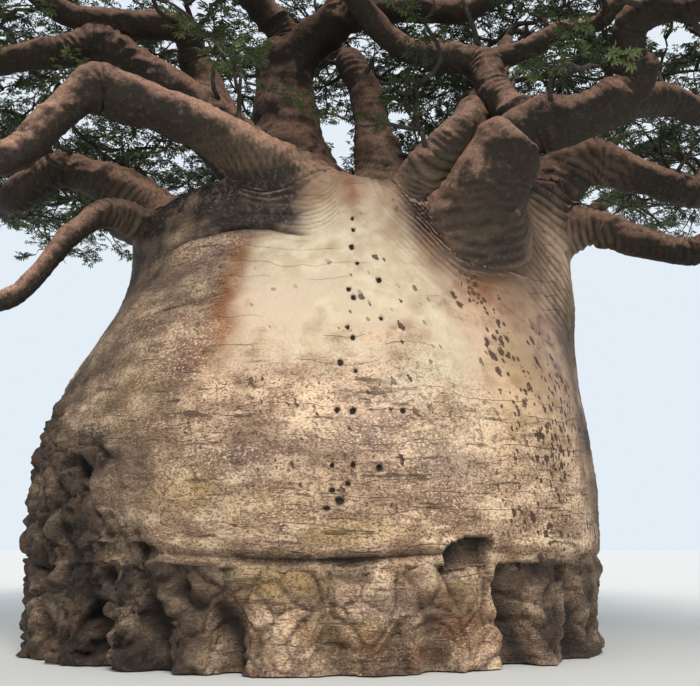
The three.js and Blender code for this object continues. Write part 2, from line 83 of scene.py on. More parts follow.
# %% Floor, sky and lamp
FLOOR_HALF, FLOOR_HEIGHT = 150, -0.02
floor_mesh = bpy.data.meshes.new("floor")
floor_mesh.from_pydata([(FLOOR_HALF * x, FLOOR_HALF * y, FLOOR_HEIGHT)
                        for x, y in ((-1, -1), (1, -1), (1, 1), (-1, 1))], [], [(0, 1, 2, 3)])
floor = bpy.data.objects.new("floor", floor_mesh)
floor_paint = bpy.data.materials.new("floor paint")
floor_paint.use_nodes = True
floor_shader = floor_paint.node_tree.nodes["Principled BSDF"]
floor_shader.inputs["Base Color"].default_value = (0.62, 0.62, 0.6, 1)
floor_shader.inputs["Roughness"].default_value = 0.9
floor_mesh.materials.append(floor_paint)
bpy.context.collection.objects.link(floor)

sky = bpy.data.worlds.new("sky")
sky.use_nodes = True
sky_light = sky.node_tree.nodes["Background"]
sky_light.inputs["Color"].default_value = (0.84, 0.92, 1.0, 1)
sky_light.inputs["Strength"].default_value = 0.93
bpy.context.scene.world = sky

lamp = bpy.data.objects.new("lamp", bpy.data.lights.new("lamp", "SUN"))
lamp.data.energy = 2.6
lamp.data.angle = np.radians(25)
lamp.data.color = (1.0, 0.95, 0.88)
lamp.rotation_euler = (np.radians(45), 0, np.radians(14))
bpy.context.collection.objects.link(lamp)
bpy.context.scene.view_settings.view_transform = "Standard"

# %% [markdown]
# ## Numbers that the whole tree shares
# Everything that grows is built from a few gentle functions. `smooth` eases from 0 to 1 between
# two values, `bump` is a soft hill, and `turned` is the smallest turn between two headings. They
# take whole arrays, so a surface of a hundred thousand points is one call.

# %% Soft steps and hills
def smooth(low, high, value):
    """Eased step: t runs from 0 at low to 1 at high, and the result is t squared times (3 - 2 t)."""
    t = np.clip((value - low) / (high - low), 0, 1)
    return t * t * (3 - 2 * t)


def bump(offset, width):
    """Soft hill: e to the minus (offset / width) squared."""
    return np.exp(-((offset / width) ** 2))


def turned(a, b):
    """Smallest turn from heading b to heading a, in degrees, from -180 to 180."""
    return (a - b + 180) % 360 - 180


def unit(vectors):
    """Each vector divided by its own length."""
    return vectors / np.maximum(np.linalg.norm(vectors, axis=-1, keepdims=True), 1e-9)


# %% [markdown]
# ## Seeded chance
# Bark needs chance that stays the same on every run. Whole-number grid corners are mixed into
# numbers from 0 to 1 by multiplying with large odd numbers and folding the bits. `noise` blends
# a slope from each of the eight corners round a point. `cells` drops one seed point in each box
# of the grid and measures the way to the nearest two, which gives knobs and the seams between.

# %% Noise and cells
def hashed(corners, seed):
    """Chance from 0 to 1 for whole-number corners: a mix of their products with large odd numbers."""
    odds = np.array([73856093, 19349663, 83492791], np.int64)
    bits = (corners.astype(np.int64) * odds).sum(-1) + seed * 2654435761
    bits = (bits & 0xFFFFFFFF).astype(np.uint64)
    for shift, factor in ((16, 0x45D9F3B), (15, 0x2C1B3C6D), (16, 1)):
        bits = ((bits ^ (bits >> np.uint64(shift))) * np.uint64(factor)) & np.uint64(0xFFFFFFFF)
    return bits / 2.0**32


def noise(points, size, seed):
    """Gradient noise, about -1 to 1: slopes at the box corners, blended with an eased fade."""
    scaled = points / size
    base = np.floor(scaled)
    inside = scaled - base
    fade = inside**3 * (inside * (inside * 6 - 15) + 10)
    total = np.zeros(len(points))
    for corner in itertools.product((0, 1), repeat=3):
        at = base + corner
        slope = np.stack([hashed(at, seed * 7 + axis) for axis in range(3)], -1) * 2 - 1
        weight = np.prod(np.where(corner, fade, 1 - fade), axis=-1)
        total += weight * ((inside - corner) * slope).sum(-1)
    return total * 1.6


def cells(points, size, seed):
    """Seed points one to a box: distance to the nearest, to the second nearest, and its chance."""
    scaled = points / size
    base = np.floor(scaled)
    first, second = np.full(len(points), 9.0), np.full(len(points), 9.0)
    chance = np.zeros(len(points))
    for offset in itertools.product((-1, 0, 1), repeat=3):
        at = base + offset
        spot = np.stack([hashed(at, seed * 7 + axis) for axis in range(3)], -1)
        away = np.linalg.norm(at + spot - scaled, axis=-1)
        nearer = away < first
        second = np.where(nearer, first, np.minimum(second, away))
        chance = np.where(nearer, hashed(at, seed * 7 + 5), chance)
        first = np.where(nearer, away, first)
    return first, second, chance


def knobs(points, size, seed):
    """Rounded knobs, one minus nearest squared, and the seams between, where both are as near."""
    first, second, chance = cells(points, size, seed)
    lift = smooth(0, 0.45, second - first) * (1 - first**2) * (0.35 + 0.65 * chance)
    return lift, smooth(0.13, 0.0, second - first)


# %% [markdown]
# ## The barrel's form
# The frame's trunk is four quarter ellipses that shrink with height, cut by clefts at the foot
# and by one level crease. The same sizes are repeated here in metres, so that the bark lies on
# the frame from every side, and only the detail is new.

# %% Sizes of the trunk
BARREL = {
    "left": (4.45, 1.4, 2.6, 6.0), "right": (4.4, 0.2, 2.2, 4.8),
    "front": (3.75, 1.35, 2.8, 7.0), "back": (3.8, 1.3, 2.6, 6.6),
}  # half extent at the foot, how much of it is lost, and between which heights
RIM = 6.65
RIM_SWELLS = [(5, 42, 0.65), (-50, 15, -0.75), (175, 40, -0.45)]  # angle, width, rise
APEX = np.array([0.5, 0.2, 7.25])
STRAIGHT = 4.9  # above this height the wall's rows spread to follow the rim
CREASE = {"height": 1.4, "depth": 0.11, "reach": 0.06, "angle": -85, "width": 60, "least": 0.3}
WAVE = {"rise": 0.045, "count": 5}
FURROW = {"angle": -50, "depth": 0.11, "width": 10}
FLARE = {"size": 0.07, "fade": 0.42}
# A cleft is a narrow notch between two lobes of the foot, and it closes above its top.
FRONT_CLEFTS = [
    (-150, 0.22, 4, 0.9), (-135, 0.42, 4.5, 1.6), (-120, 0.26, 4, 1.5), (-105, 0.34, 4, 1.15),
    (-85, 0.16, 5, 0.9), (-65, 0.18, 5, 1.0), (-45, 0.32, 4.5, 1.6), (-30, 0.22, 4.5, 1.2),
]  # angle, depth, width in degrees, height of the top
BACK_CLEFTS = {"first": -10, "step": 20, "count": 11, "depth": 0.24, "width": 5, "top": 1.2, "seed": 11}
SLIT = 0.75  # the clefts' width as a share of the frame's, so that the lobes between are fuller
SCAR = {"angle": -57, "bottom": 0.85, "top": 1.64, "width": 0.78, "depth": 0.23}


def dice(seed):
    """A seeded row: the state times 1664525 plus 1013904223, cut to 32 bits, gives 0 to 1."""
    state = seed

    def roll():
        nonlocal state
        state = (state * 1664525 + 1013904223) % 2**32
        return state / 2**32

    return roll


def back_clefts():
    """Clefts round the back: even steps of angle, with rolled depth, width and top."""
    roll = dice(BACK_CLEFTS["seed"])
    return [
        (BACK_CLEFTS["first"] + BACK_CLEFTS["step"] * i, BACK_CLEFTS["depth"] * (0.6 + 0.8 * roll()),
         BACK_CLEFTS["width"] * (0.8 + 0.4 * roll()), BACK_CLEFTS["top"] * (0.7 + 0.6 * roll()))
        for i in range(BACK_CLEFTS["count"])
    ]


CLEFTS = FRONT_CLEFTS + back_clefts()


def half_extent(side, height):
    """Half extent of one side: its foot less what is lost between two heights."""
    foot, loss, low, high = BARREL[side]
    return foot - loss * smooth(low, high, height)


def trunk_radius(angle, height):
    """Radius at an angle and height: the quarter ellipse, flare, crease, furrow and clefts."""
    c, s = np.cos(np.radians(angle)), np.sin(np.radians(angle))
    across = np.where(c < 0, half_extent("left", height), half_extent("right", height))
    deep = np.where(s < 0, half_extent("front", height), half_extent("back", height))
    radius = 1 / np.hypot(c / across, s / deep) + FLARE["size"] * np.exp(-height / FLARE["fade"])
    facing = bump(turned(angle, CREASE["angle"]), CREASE["width"])
    front = CREASE["least"] + (1 - CREASE["least"]) * facing
    radius = radius - CREASE["depth"] * front * bump(height - CREASE["height"], CREASE["reach"])
    radius = radius - FURROW["depth"] * bump(turned(angle, FURROW["angle"]), FURROW["width"])
    for at, depth, width, top in CLEFTS:
        radius = radius - depth * bump(turned(angle, at), SLIT * width) * (1 - smooth(0, top, height))
    return radius


def trunk_point(angle, wall, cap):
    """Point of the skin: wall climbs the side to the rim, then cap turns a quarter round to the apex."""
    rim = RIM + sum(rise * bump(turned(angle, at), width) for at, width, rise in RIM_SWELLS)
    height = np.where(wall < STRAIGHT, wall, STRAIGHT + (rim - STRAIGHT) * (wall / STRAIGHT - 1))
    radius = trunk_radius(angle, height)
    ripple = np.sin(np.radians(WAVE["count"] * angle)) * smooth(0, CREASE["height"], height)
    inward, up = np.cos(cap * np.pi / 2), np.sin(cap * np.pi / 2)
    across, deep = np.cos(np.radians(angle)), np.sin(np.radians(angle))
    return np.stack([
        APEX[0] * (1 - inward) + radius * across * inward,
        APEX[1] * (1 - inward) + radius * deep * inward,
        height + WAVE["rise"] * ripple * inward + (APEX[2] - height) * up,
    ], -1)


# %% [markdown]
# ## Boughs as paths
# A baobab's bough grows straight for a metre or two, then turns. So each is a row of legs, a
# heading, a rise and a length, and one smooth curve runs through the joints. The table repeats
# the frame's. A bough starts at a foot inside the trunk or at a joint of an earlier bough.

# %% Table of boughs, in degrees and metres
def bough(start, radii, *legs):
    """A row of the table: a foot in the trunk or a joint of an earlier bough, two radii, and legs."""
    return {"from" if isinstance(start[0], str) else "foot": start, "radii": radii, "legs": legs}


BOUGHS = {
    "front_left_lower": bough((0.2, -1.5, 6.6), (0.34, 0.31), (-140, 20, 1.35), (-165, 25, 1.3),
        (-165, 15, 1.2)),
    "front_left_outer": bough(("front_left_lower", 3), (0.29, 0.2), (-145, -45, 0.85), (-150, -50, 0.9),
        (-155, -5, 1.35)),
    "front_left_rise": bough(("front_left_outer", 3), (0.165, 0.11), (-165, 30, 1.7), (-150, 55, 1.55)),
    "left_behind": bough((0, -0.3, 6.75), (0.42, 0.13), (-155, 40, 2.05), (-155, 30, 1.35),
        (-175, 30, 1.15), (-175, -15, 0.75), (170, 0, 2.25), (165, 25, 1.35)),
    "upper_left": bough(("left_behind", 1), (0.31, 0.12), (175, 65, 1.35), (-125, 55, 0.55), (-165, 0, 0.9),
        (-175, 10, 1.1), (-135, 30, 1.8)),
    "centre_leader": bough((-0.25, 0.3, 6.5), (0.8, 0.43), (160, 80, 1.85), (120, 85, 1.75),
        (-110, 85, 0.5)),
    "leader_left": bough(("centre_leader", 3), (0.3, 0.15), (-155, 45, 0.7), (-145, 30, 1.15),
        (-155, 15, 1.25)),
    "leader_right": bough(("centre_leader", 2), (0.43, 0.18), (-15, 35, 1.05), (-5, 65, 0.8), (0, 55, 0.6)),
    "top_right": bough(("leader_right", 1), (0.27, 0.11), (-35, -5, 1.35), (-15, -10, 1.2), (10, 35, 1.15),
        (10, 40, 1.4)),
    "centre_back": bough((1.2, -0.9, 6.5), (0.32, 0.13), (160, 80, 1.35), (125, 75, 1.1), (140, 65, 0.75),
        (90, 20, 2.1), (95, 40, 1.8)),
    "centre_right": bough((1.45, -1.5, 6.2), (0.3, 0.12), (-70, 45, 1.05), (-30, 45, 0.55), (30, 50, 0.6),
        (70, 40, 3.15), (75, 40, 1.75)),
    "right_fork": bough((2.3, -1.4, 5.7), (0.56, 0.43), (-75, 45, 1.2), (-40, 55, 0.7), (-20, 45, 0.5)),
    "fork_up": bough(("right_fork", 3), (0.29, 0.11), (145, 50, 0.8), (135, 65, 0.7), (170, 15, 0.65),
        (150, 30, 0.9), (-150, 45, 2.85)),
    "fork_arc": bough(("fork_up", 2), (0.17, 0.1), (-10, 15, 0.85), (-10, 25, 0.45), (-30, 0, 0.6),
        (-20, 60, 2.05)),
    "fork_right": bough(("right_fork", 3), (0.38, 0.31), (-10, 5, 0.55), (-10, 20, 0.65), (-20, 40, 0.45)),
    "hook": bough(("fork_right", 3), (0.26, 0.11), (-125, 60, 0.45), (-85, 55, 0.35), (-45, 10, 0.45),
        (-45, -20, 0.6), (-70, 20, 1.15), (-60, 40, 1.3)),
    "right_upper": bough(("fork_right", 2), (0.27, 0.11), (30, 15, 1.25), (35, 0, 0.7), (40, 45, 1.2),
        (25, 45, 1.55)),
    "right_shoulder": bough((2.9, -0.2, 6.7), (0.38, 0.12), (-20, 30, 1.9), (5, -15, 0.8), (15, -10, 1.05),
        (60, 25, 1.6), (50, 40, 1.95)),
    "right_lower": bough((3, -0.3, 6.35), (0.29, 0.12), (-10, 10, 1.5), (-10, -20, 0.85), (-20, -15, 0.9),
        (-40, 30, 1.75), (-45, 35, 2.05)),
    "left_shoulder": bough((-1.7, 0, 6), (0.4, 0.12), (-160, 40, 1.7), (-165, 25, 0.75), (-170, 10, 0.65),
        (155, -20, 0.85), (130, 10, 1.95), (130, 35, 2.2)),
    "left_low": bough((-1.9, -0.7, 6.1), (0.19, 0.08), (-145, 15, 1.55), (-130, -35, 0.75),
        (-145, -50, 1.55), (-170, 20, 1.8), (180, 45, 1.6)),
    "back_left": bough((-1.3, 1, 6.4), (0.42, 0.12), (135, 30, 2.55), (125, 10, 2.45), (125, 30, 2.4)),
    "back_left_inner": bough((-0.4, 1.5, 6.7), (0.3, 0.11), (125, 40, 2.25), (135, 45, 2.05),
        (160, 45, 1.9)),
    "back_centre_left": bough((-0.1, 1.9, 6.3), (0.4, 0.12), (100, 30, 2.25), (115, 15, 2.4),
        (105, 35, 2.45)),
    "back_centre_right": bough((0.9, 1.9, 6.4), (0.38, 0.12), (60, 30, 2.45), (75, 15, 2.1), (70, 40, 2.3)),
    "back_right_inner": bough((1.4, 1.3, 6.8), (0.3, 0.11), (60, 45, 2.05), (40, 45, 2.2), (55, 50, 1.85)),
    "back_right": bough((2.3, 1.1, 6.4), (0.42, 0.12), (40, 25, 2.5), (60, 15, 2.25), (40, 35, 2.3)),
    "front_top_left": bough(("leader_left", 2), (0.18, 0.11), (-115, -5, 2.65), (-110, 0, 2.15)),
    "front_top_right": bough(("leader_right", 2), (0.2, 0.11), (-75, -5, 2.4), (-75, 0, 2.6)),
}
COLLAR = {"swell": 0.45, "reach": 1.5}  # a bough's foot is thicker by this share, for this far
HEEL = {"length": 1.2, "sharpest": 75}  # in radii, and the sharpest turn that still gets one


# %% [markdown]
# ## Curves through the joints
# The curve between two joints is a cubic whose end slopes come from the joints on either side,
# each gap weighed by the square root of its length. This keeps sharp elbows from looping. Along
# the curve a side direction is carried, so that a skin can be wrapped round it without a twist.

# %% Paths of the boughs
def way(turn, rise):
    """Direction of a heading and a rise above level, both in degrees."""
    turn, rise = np.radians(turn), np.radians(rise)
    return np.array([np.cos(rise) * np.cos(turn), np.cos(rise) * np.sin(turn), np.sin(rise)])


def bearer_of(name):
    """The bough that a bough leaves, and at which joint, or None where the trunk bears it."""
    return BOUGHS[name].get("from", (None, 0))


def joints_of(name):
    """Joints of a bough: its start, and then the running sum of its legs."""
    bearer, joint = bearer_of(name)
    start = np.array(BOUGHS[name]["foot"], float) if bearer is None else joints_of(bearer)[joint]
    legs = np.array([length * way(turn, rise) for turn, rise, length in BOUGHS[name]["legs"]])
    return start + np.vstack([np.zeros(3), np.cumsum(legs, axis=0)])


def with_heel(name):
    """Joints, with a heel set back inside the bearer where a bough carries on from its tip."""
    joints = joints_of(name)
    bearer, joint = bearer_of(name)
    if bearer is None or joint < len(BOUGHS[bearer]["legs"]):
        return joints
    back = unit(joints_of(bearer)[joint - 1] - joints[0])
    turn = 180 - np.degrees(np.arccos(back @ unit(joints[1] - joints[0])))
    if turn > HEEL["sharpest"]:
        return joints
    return np.vstack([joints[0] + back * HEEL["length"] * BOUGHS[name]["radii"][0], joints])


def curve(joints, shares):
    """Points at shares 0 to 1 of the joints: cubics whose gaps count by the root of their length."""
    knots = np.vstack([2 * joints[0] - joints[1], joints, 2 * joints[-1] - joints[-2]])
    place = np.clip(shares, 0, 1) * (len(joints) - 1)
    leg = np.minimum(place.astype(int), len(joints) - 2)
    t = (place - leg)[:, None]
    p0, p1, p2, p3 = (knots[leg + i] for i in range(4))
    g0, g1, g2 = (np.sqrt(np.linalg.norm(b - a, axis=1))[:, None]
                  for a, b in ((p0, p1), (p1, p2), (p2, p3)))
    leave = ((p1 - p0) / g0 - (p2 - p0) / (g0 + g1) + (p2 - p1) / g1) * g1
    arrive = ((p2 - p1) / g1 - (p3 - p1) / (g1 + g2) + (p3 - p2) / g2) * g1
    bend = 3 * (p2 - p1) - 2 * leave - arrive
    return p1 + leave * t + bend * t**2 + (2 * (p1 - p2) + leave + arrive) * t**3


def path_of(name, steps):
    """Stops of a bough: place, direction, carried side, way travelled, and a shrinking radius."""
    joints, (thick, thin) = with_heel(name), BOUGHS[name]["radii"]
    shares = np.linspace(0, 1, steps + 1)
    place = curve(joints, shares)
    along = unit(curve(joints, shares + 1e-4) - curve(joints, shares - 1e-4))
    travelled = np.append(0, np.cumsum(np.linalg.norm(np.diff(place, axis=0), axis=1)))
    side = np.empty_like(place)
    side[0] = unit(np.array([-along[0, 1], along[0, 0], 0]))
    for i in range(1, len(place)):
        side[i] = unit(side[i - 1] - (side[i - 1] @ along[i]) * along[i])
    radius = thick + (thin - thick) * travelled / travelled[-1]
    if "foot" in BOUGHS[name]:
        radius = radius + thick * COLLAR["swell"] * bump(travelled, COLLAR["reach"])
    return {"place": place, "along": along, "side": side, "travelled": travelled, "radius": radius}


RING_GAP = 0.05
coarse = {name: path_of(name, 2 * (len(with_heel(name)) - 1)) for name in BOUGHS}
fine = {name: path_of(name, int(coarse[name]["travelled"][-1] / RING_GAP)) for name in BOUGHS}
print(len(BOUGHS), "boughs,", round(sum(p["travelled"][-1] for p in fine.values())), "m in all")

# %% [markdown]
# ## Growing bodies together
# Where a bough leaves the trunk the skin of both flows over in a soft hollow. Two plain skins
# that pass through each other would show a hard line instead. So each point near the other body
# is moved onto the blend of both: the smaller of the two distances, less a share that is largest
# where they are equal. The point slides down the slope of that blend for a few steps. Points
# that are well inside the other body stay, because nothing shows of them.

# %% Distances and blends
FAR = 9.0  # metres, further than any growing together reaches


def from_path(points, path):
    """Distance to a tube and its slope: nearest spot on the stretches of its line, less the radius."""
    best, slope = np.full(len(points), FAR), np.zeros_like(points)
    spots, radii = path["place"], path["radius"]
    for a, b, ra, rb in zip(spots[:-1], spots[1:], radii[:-1], radii[1:]):
        share = np.clip((points - a) @ (b - a) / ((b - a) @ (b - a)), 0, 1)
        away = points - a - share[:, None] * (b - a)
        length = np.linalg.norm(away, axis=1)
        distance = length - ra - share * (rb - ra)
        nearer = distance < best
        best = np.where(nearer, distance, best)
        slope[nearer] = away[nearer] / np.maximum(length[nearer, None], 1e-6)
    return best, slope


def blended(distance, slope, other, other_slope, reach):
    """Soft smaller of two distances: their mix less reach times share times (1 - share)."""
    share = np.clip(0.5 + 0.5 * (distance - other) / reach, 0, 1)
    soft = distance + (other - distance) * share - reach * share * (1 - share)
    return soft, slope + (other_slope - slope) * share[:, None], share


def grown_together(points, normals, others):
    """Points moved onto the blend with other bodies, and how far each belongs to them, 0 to 1."""
    moved = points.copy()
    belongs = np.zeros(len(points))
    sunk = np.full(len(points), FAR)
    for near, measure, _ in others:
        sunk[near] = np.minimum(sunk[near], measure(points[near])[0])
    for _ in range(3):
        distance, slope = ((moved - points) * normals).sum(1), normals.copy()
        belongs[:] = 0
        for near, measure, reach in others:
            other, other_slope = measure(moved[near])
            soft, leaning, share = blended(distance[near], slope[near], other, other_slope, reach)
            distance[near], slope[near] = soft, leaning
            belongs[near] = 1 - (1 - belongs[near]) * (1 - share)
        moved = moved - slope * (distance / np.maximum((slope**2).sum(1), 0.25))[:, None]
    keep = smooth(-0.08, -0.02, sunk)[:, None]
    return points + (moved - points) * keep, belongs


# %% [markdown]
# ## The trunk's grid
# The trunk is one grid of rows and columns. Columns stand closer together at the front, where
# the eye is nearest: the angle is the column's even share less a sine. The grid is cut into
# four pieces from foot to top that share their edge rows. Each takes its normals from the whole
# grid, so no seam shows.

# %% Rows and columns of the trunk
COLUMNS, CROWDING = 720, 0.32
BANDS = {"foot": (0, 52), "lower": (CREASE["height"], 72), "upper": (3.9, 76), "top": (5.8, 38)}
CAP_ROWS = 44
even = np.arange(COLUMNS) * 360 / COLUMNS
angles = even - 90 - np.degrees(CROWDING * np.sin(np.radians(even)))
lows = [low for low, _ in BANDS.values()]
heights = np.concatenate([np.linspace(low, high, rows, endpoint=False)
                          for (low, rows), high in zip(BANDS.values(), lows[1:] + [RIM])] + [[RIM]])
walls = np.where(heights < STRAIGHT, heights, STRAIGHT * (1 + (heights - STRAIGHT) / (RIM - STRAIGHT)))
walls = np.append(walls, np.full(CAP_ROWS, 2 * STRAIGHT))
ALMOST = 0.99  # of the cap, and a fan of triangles closes the rest
caps = np.append(np.zeros(len(heights)), np.linspace(0, ALMOST, CAP_ROWS + 1)[1:])
trunk_grid = trunk_point(angles[None, :], walls[:, None], caps[:, None])


def grid_normals(grid):
    """Normals of a grid that closes round its columns: the cross of column and row differences."""
    across = np.roll(grid, -1, axis=1) - np.roll(grid, 1, axis=1)
    return unit(np.cross(across, np.gradient(grid, axis=0)))


trunk_normals = grid_normals(trunk_grid)
print("trunk grid", trunk_grid.shape[:2])

# %% The trunk grown together with its boughs
TRUNK_BLEND = 0.75  # in radii of the bough's collar
REACHED = 3.6  # how far along a bough the trunk still feels it


def thinned(path, last, count):
    """Fewer stops of a path, up to the last one asked for, which are enough to measure from."""
    stops = np.unique(np.linspace(0, min(last, len(path["place"]) - 1), count).astype(int))
    return {key: path[key][stops] for key in ("place", "radius")}


def bough_near(points, name, reached):
    """The bough as a body that points can grow together with: its first metres."""
    path = fine[name]
    line = thinned(path, int(np.searchsorted(path["travelled"], reached)) + 1, 24)
    near = np.flatnonzero(np.linalg.norm(points - path["place"][0], axis=1) < reached + 1)
    return near, lambda p: from_path(p, line), TRUNK_BLEND * path["radius"][0]


flat, flat_normals = trunk_grid.reshape(-1, 3), trunk_normals.reshape(-1, 3)
feet = [name for name in BOUGHS if "foot" in BOUGHS[name]]
bodies = [bough_near(flat, name, REACHED) for name in feet]
grown, trunk_share = grown_together(flat, flat_normals, bodies)
to_bough = np.full(len(flat), FAR)
for near, measure, _ in bodies:
    to_bough[near] = np.minimum(to_bough[near], measure(flat[near])[0])
print("trunk points moved by up to", round(float(np.linalg.norm(grown - flat, axis=1).max()), 2), "m")

# %% [markdown]
# ## Relief of the bark
# The barrel's skin is tight and nearly smooth in front, and turns to fist-sized lumps with dark
# hollows between them on its left flank and at the foot. Lumps with sharp valleys come from the
# size of a noise, without its sign. Below each bough the skin is pushed into folds, as a sleeve
# is by a bent arm: rounded ridges with sharp valleys, which the size of a sine gives.

# %% Where the skin is rough
def polar(points):
    """Angle in degrees and height of points round the trunk's axis."""
    return np.degrees(np.arctan2(points[:, 1], points[:, 0])), points[:, 2]


def swept(angle):
    """The same angle from -270 to 90, so that it runs on without a jump past the trunk's left."""
    return turned(angle, -90) - 90


def hills(angle, height, rows):
    """The highest of some soft hills: each has an angle, a height, two widths and a strength."""
    return np.max([strength * bump(turned(angle, at), wide) * bump(height - up, tall)
                   for at, up, wide, tall, strength in rows], axis=0)


def rough_share(angle, height):
    """How craggy the skin is: most on the left flank below the shoulder, some at the right back."""
    edge = 4 * np.sin(height * 2.3) + 3 * np.sin(height * 5.1)
    retreat = 8 * smooth(1.4, 2.6, height) + 24 * smooth(2.6, 3.5, height)
    flank = smooth(33, 49, turned(-80, angle) + edge - retreat)
    flank = flank * smooth(115, 85, np.abs(turned(angle, -150)))
    far = 0.6 * bump(turned(angle, 25), 28)
    return np.maximum(flank * (1 - smooth(3.2, 4.5, height)), far * (1 - smooth(2.2, 3.6, height)))


def lumps(points, size, seed):
    """Rounded lumps with sharp valleys, -1 to 1: twice the size of a noise, less one."""
    return 2 * np.abs(noise(points, size, seed)) ** 0.8 - 1


def cleft_share(angle, height):
    """How deep in a cleft of the foot: the frame's clefts again, but narrower."""
    share = np.zeros(len(angle))
    for at, depth, width, top in CLEFTS:
        leaned = at - 4 * (height - 0.5)
        here = bump(turned(angle, leaned), 0.5 * width) * (1 - smooth(0.5 * top, 1.1 * top, height))
        share = np.maximum(share, min(1, 3.6 * depth) * here)
    return share


def shaken_places(points):
    """Points moved by three slow noises, so that lumps and hollows lose their even shapes."""
    return points + 0.14 * np.stack([noise(points, 0.5, seed) for seed in (3, 4, 8)], -1)


def foot_share(height):
    """1 below the level crease and 0 above it."""
    return smooth(CREASE["height"] + 0.05, CREASE["height"] - 0.15, height)


def valley_share(points):
    """Wide, shallow valleys between the swellings of the foot: where a noise is high."""
    return smooth(0.12, 0.5, noise(points * [1, 1, 0.8], 0.5, 36))


def hollow_share(points):
    """Dark hollows of the flank: where two noises are low, wider than high."""
    flatter = points * [1, 1, 1.5]
    return smooth(0.2, 0.55, noise(flatter, 0.52, 33)) + 0.6 * smooth(0.3, 0.6, noise(flatter, 0.24, 34))


# %% Pegs, scar and crease
PEG_RADIUS = (0.046, 0.056, 0.066)
ARC = 4.0  # metres from the axis to the skin, to turn an angle into a width
WELLS = ((-85, 2.2, 0.07), (-83.5, 2.07, 0.10), (-86, 1.98, 0.07), (-82, 2.28, 0.06))
PEGS = [(-77, 6.11), (-77, 5.93), (-78, 5.63), (-77, 5.36), (-80, 4.94), (-79, 4.82), (-81, 4.37),
        (-80, 4.22), (-83, 3.86), (-80, 3.74), (-84, 3.2), (-81, 3.19), (-85, 2.5), (-81, 2.51),
        (-72, 5.1), (-73, 4.51), (-71, 3.21), (-76, 2.48)]


def peg_depth(angle, height):
    """Cones of the old peg holes, no wider than a hand, and of one cluster of rotted wells."""
    wells = np.zeros(len(angle))
    for i, (at, up) in enumerate(PEGS):
        away = np.hypot(np.radians(turned(angle, at)) * ARC, height - up)
        wells = np.maximum(wells, 1 - away / PEG_RADIUS[i % len(PEG_RADIUS)])
    for at, up, size in WELLS:
        away = np.hypot(np.radians(turned(angle, at)) * ARC, (height - up) * 1.3)
        wells = np.maximum(wells, 1 - away / size)
    return wells


def scar_depth(angle, height):
    """The old wound: sharp under its lip, with a floor that slopes out to the bark below."""
    face = trunk_radius(np.array(SCAR["angle"]), np.array(SCAR["top"]))
    across = np.radians(turned(angle, SCAR["angle"])) * face / SCAR["width"]
    top = SCAR["top"] - 0.35 * across**2 + 0.1 * across
    climb = (height - SCAR["bottom"]) / (top - SCAR["bottom"])
    return SCAR["depth"] * smooth(0.52, 0.4, np.abs(across)) * np.clip(climb, 0, 1) * (climb < 1)


def scar_shade(angle, height):
    """Shade of the wound: black close under the lip."""
    return smooth(0.6, 0.85, scar_depth(angle, height) / SCAR["depth"])


# %% Folds of the trunk
PLEATED = ((-152, -142, -134, -126, -117, -106, -97, -91, -87, -84, -81.5, -79.5, -78),
           (5.4, 5.68, 5.84, 5.9, 5.93, 5.93, 5.86, 5.85, 5.9, 6.0, 6.12, 6.28, 6.5))
FOLDS = [  # angles along the fold, heights there, depth, width
    ((-144, -137, -130, -121, -111, -103, -97, -93, -87),
     (5.66, 5.83, 5.93, 5.95, 5.98, 5.96, 5.89, 5.86, 5.86), 0.085, 0.026),
    ((-131, -123, -116, -108, -101, -95, -90, -86),
     (6.05, 6.13, 6.19, 6.2, 6.17, 6.19, 6.26, 6.34), 0.05, 0.02),
    ((-106, -100, -94, -89), (5.8, 5.79, 5.74, 5.73), 0.02, 0.014),
    ((-133, -123, -116, -109), (4.68, 4.78, 4.87, 4.98), 0.05, 0.026),
    ((-116, -108, -101), (5.74, 5.84, 5.86), 0.03, 0.02),
    ((-58, -47, -38, -29), (6.1, 5.66, 5.45, 5.36), 0.04, 0.03),
    ((-42, -33, -25), (4.95, 4.62, 4.35), 0.03, 0.022),
]


def ridges(value):
    """Rounded ridges with sharp valleys: the size of a sine, one ridge to each unit."""
    return np.abs(np.sin(np.pi * value))


def fold_lines(angle, height, wander):
    """Depth of the deep folds, and how dark the painted shade in each is: a soft hill across a line of
    heights.
    """
    depth, shade = np.zeros(len(angle)), np.zeros(len(angle))
    for along, ups, deep, width in FOLDS:
        line = np.interp(swept(angle), along, ups) + 0.02 * wander
        fade = 0.16 * (along[-1] - along[0])
        ends = smooth(along[0], along[0] + fade, swept(angle))
        ends = ends * smooth(along[-1], along[-1] - fade, swept(angle)) * (0.8 + 0.35 * wander)
        here = ends * bump(height - line, width)
        depth, shade = np.maximum(depth, deep * here), np.maximum(shade, min(1, 13 * deep) * here)
    return depth, shade


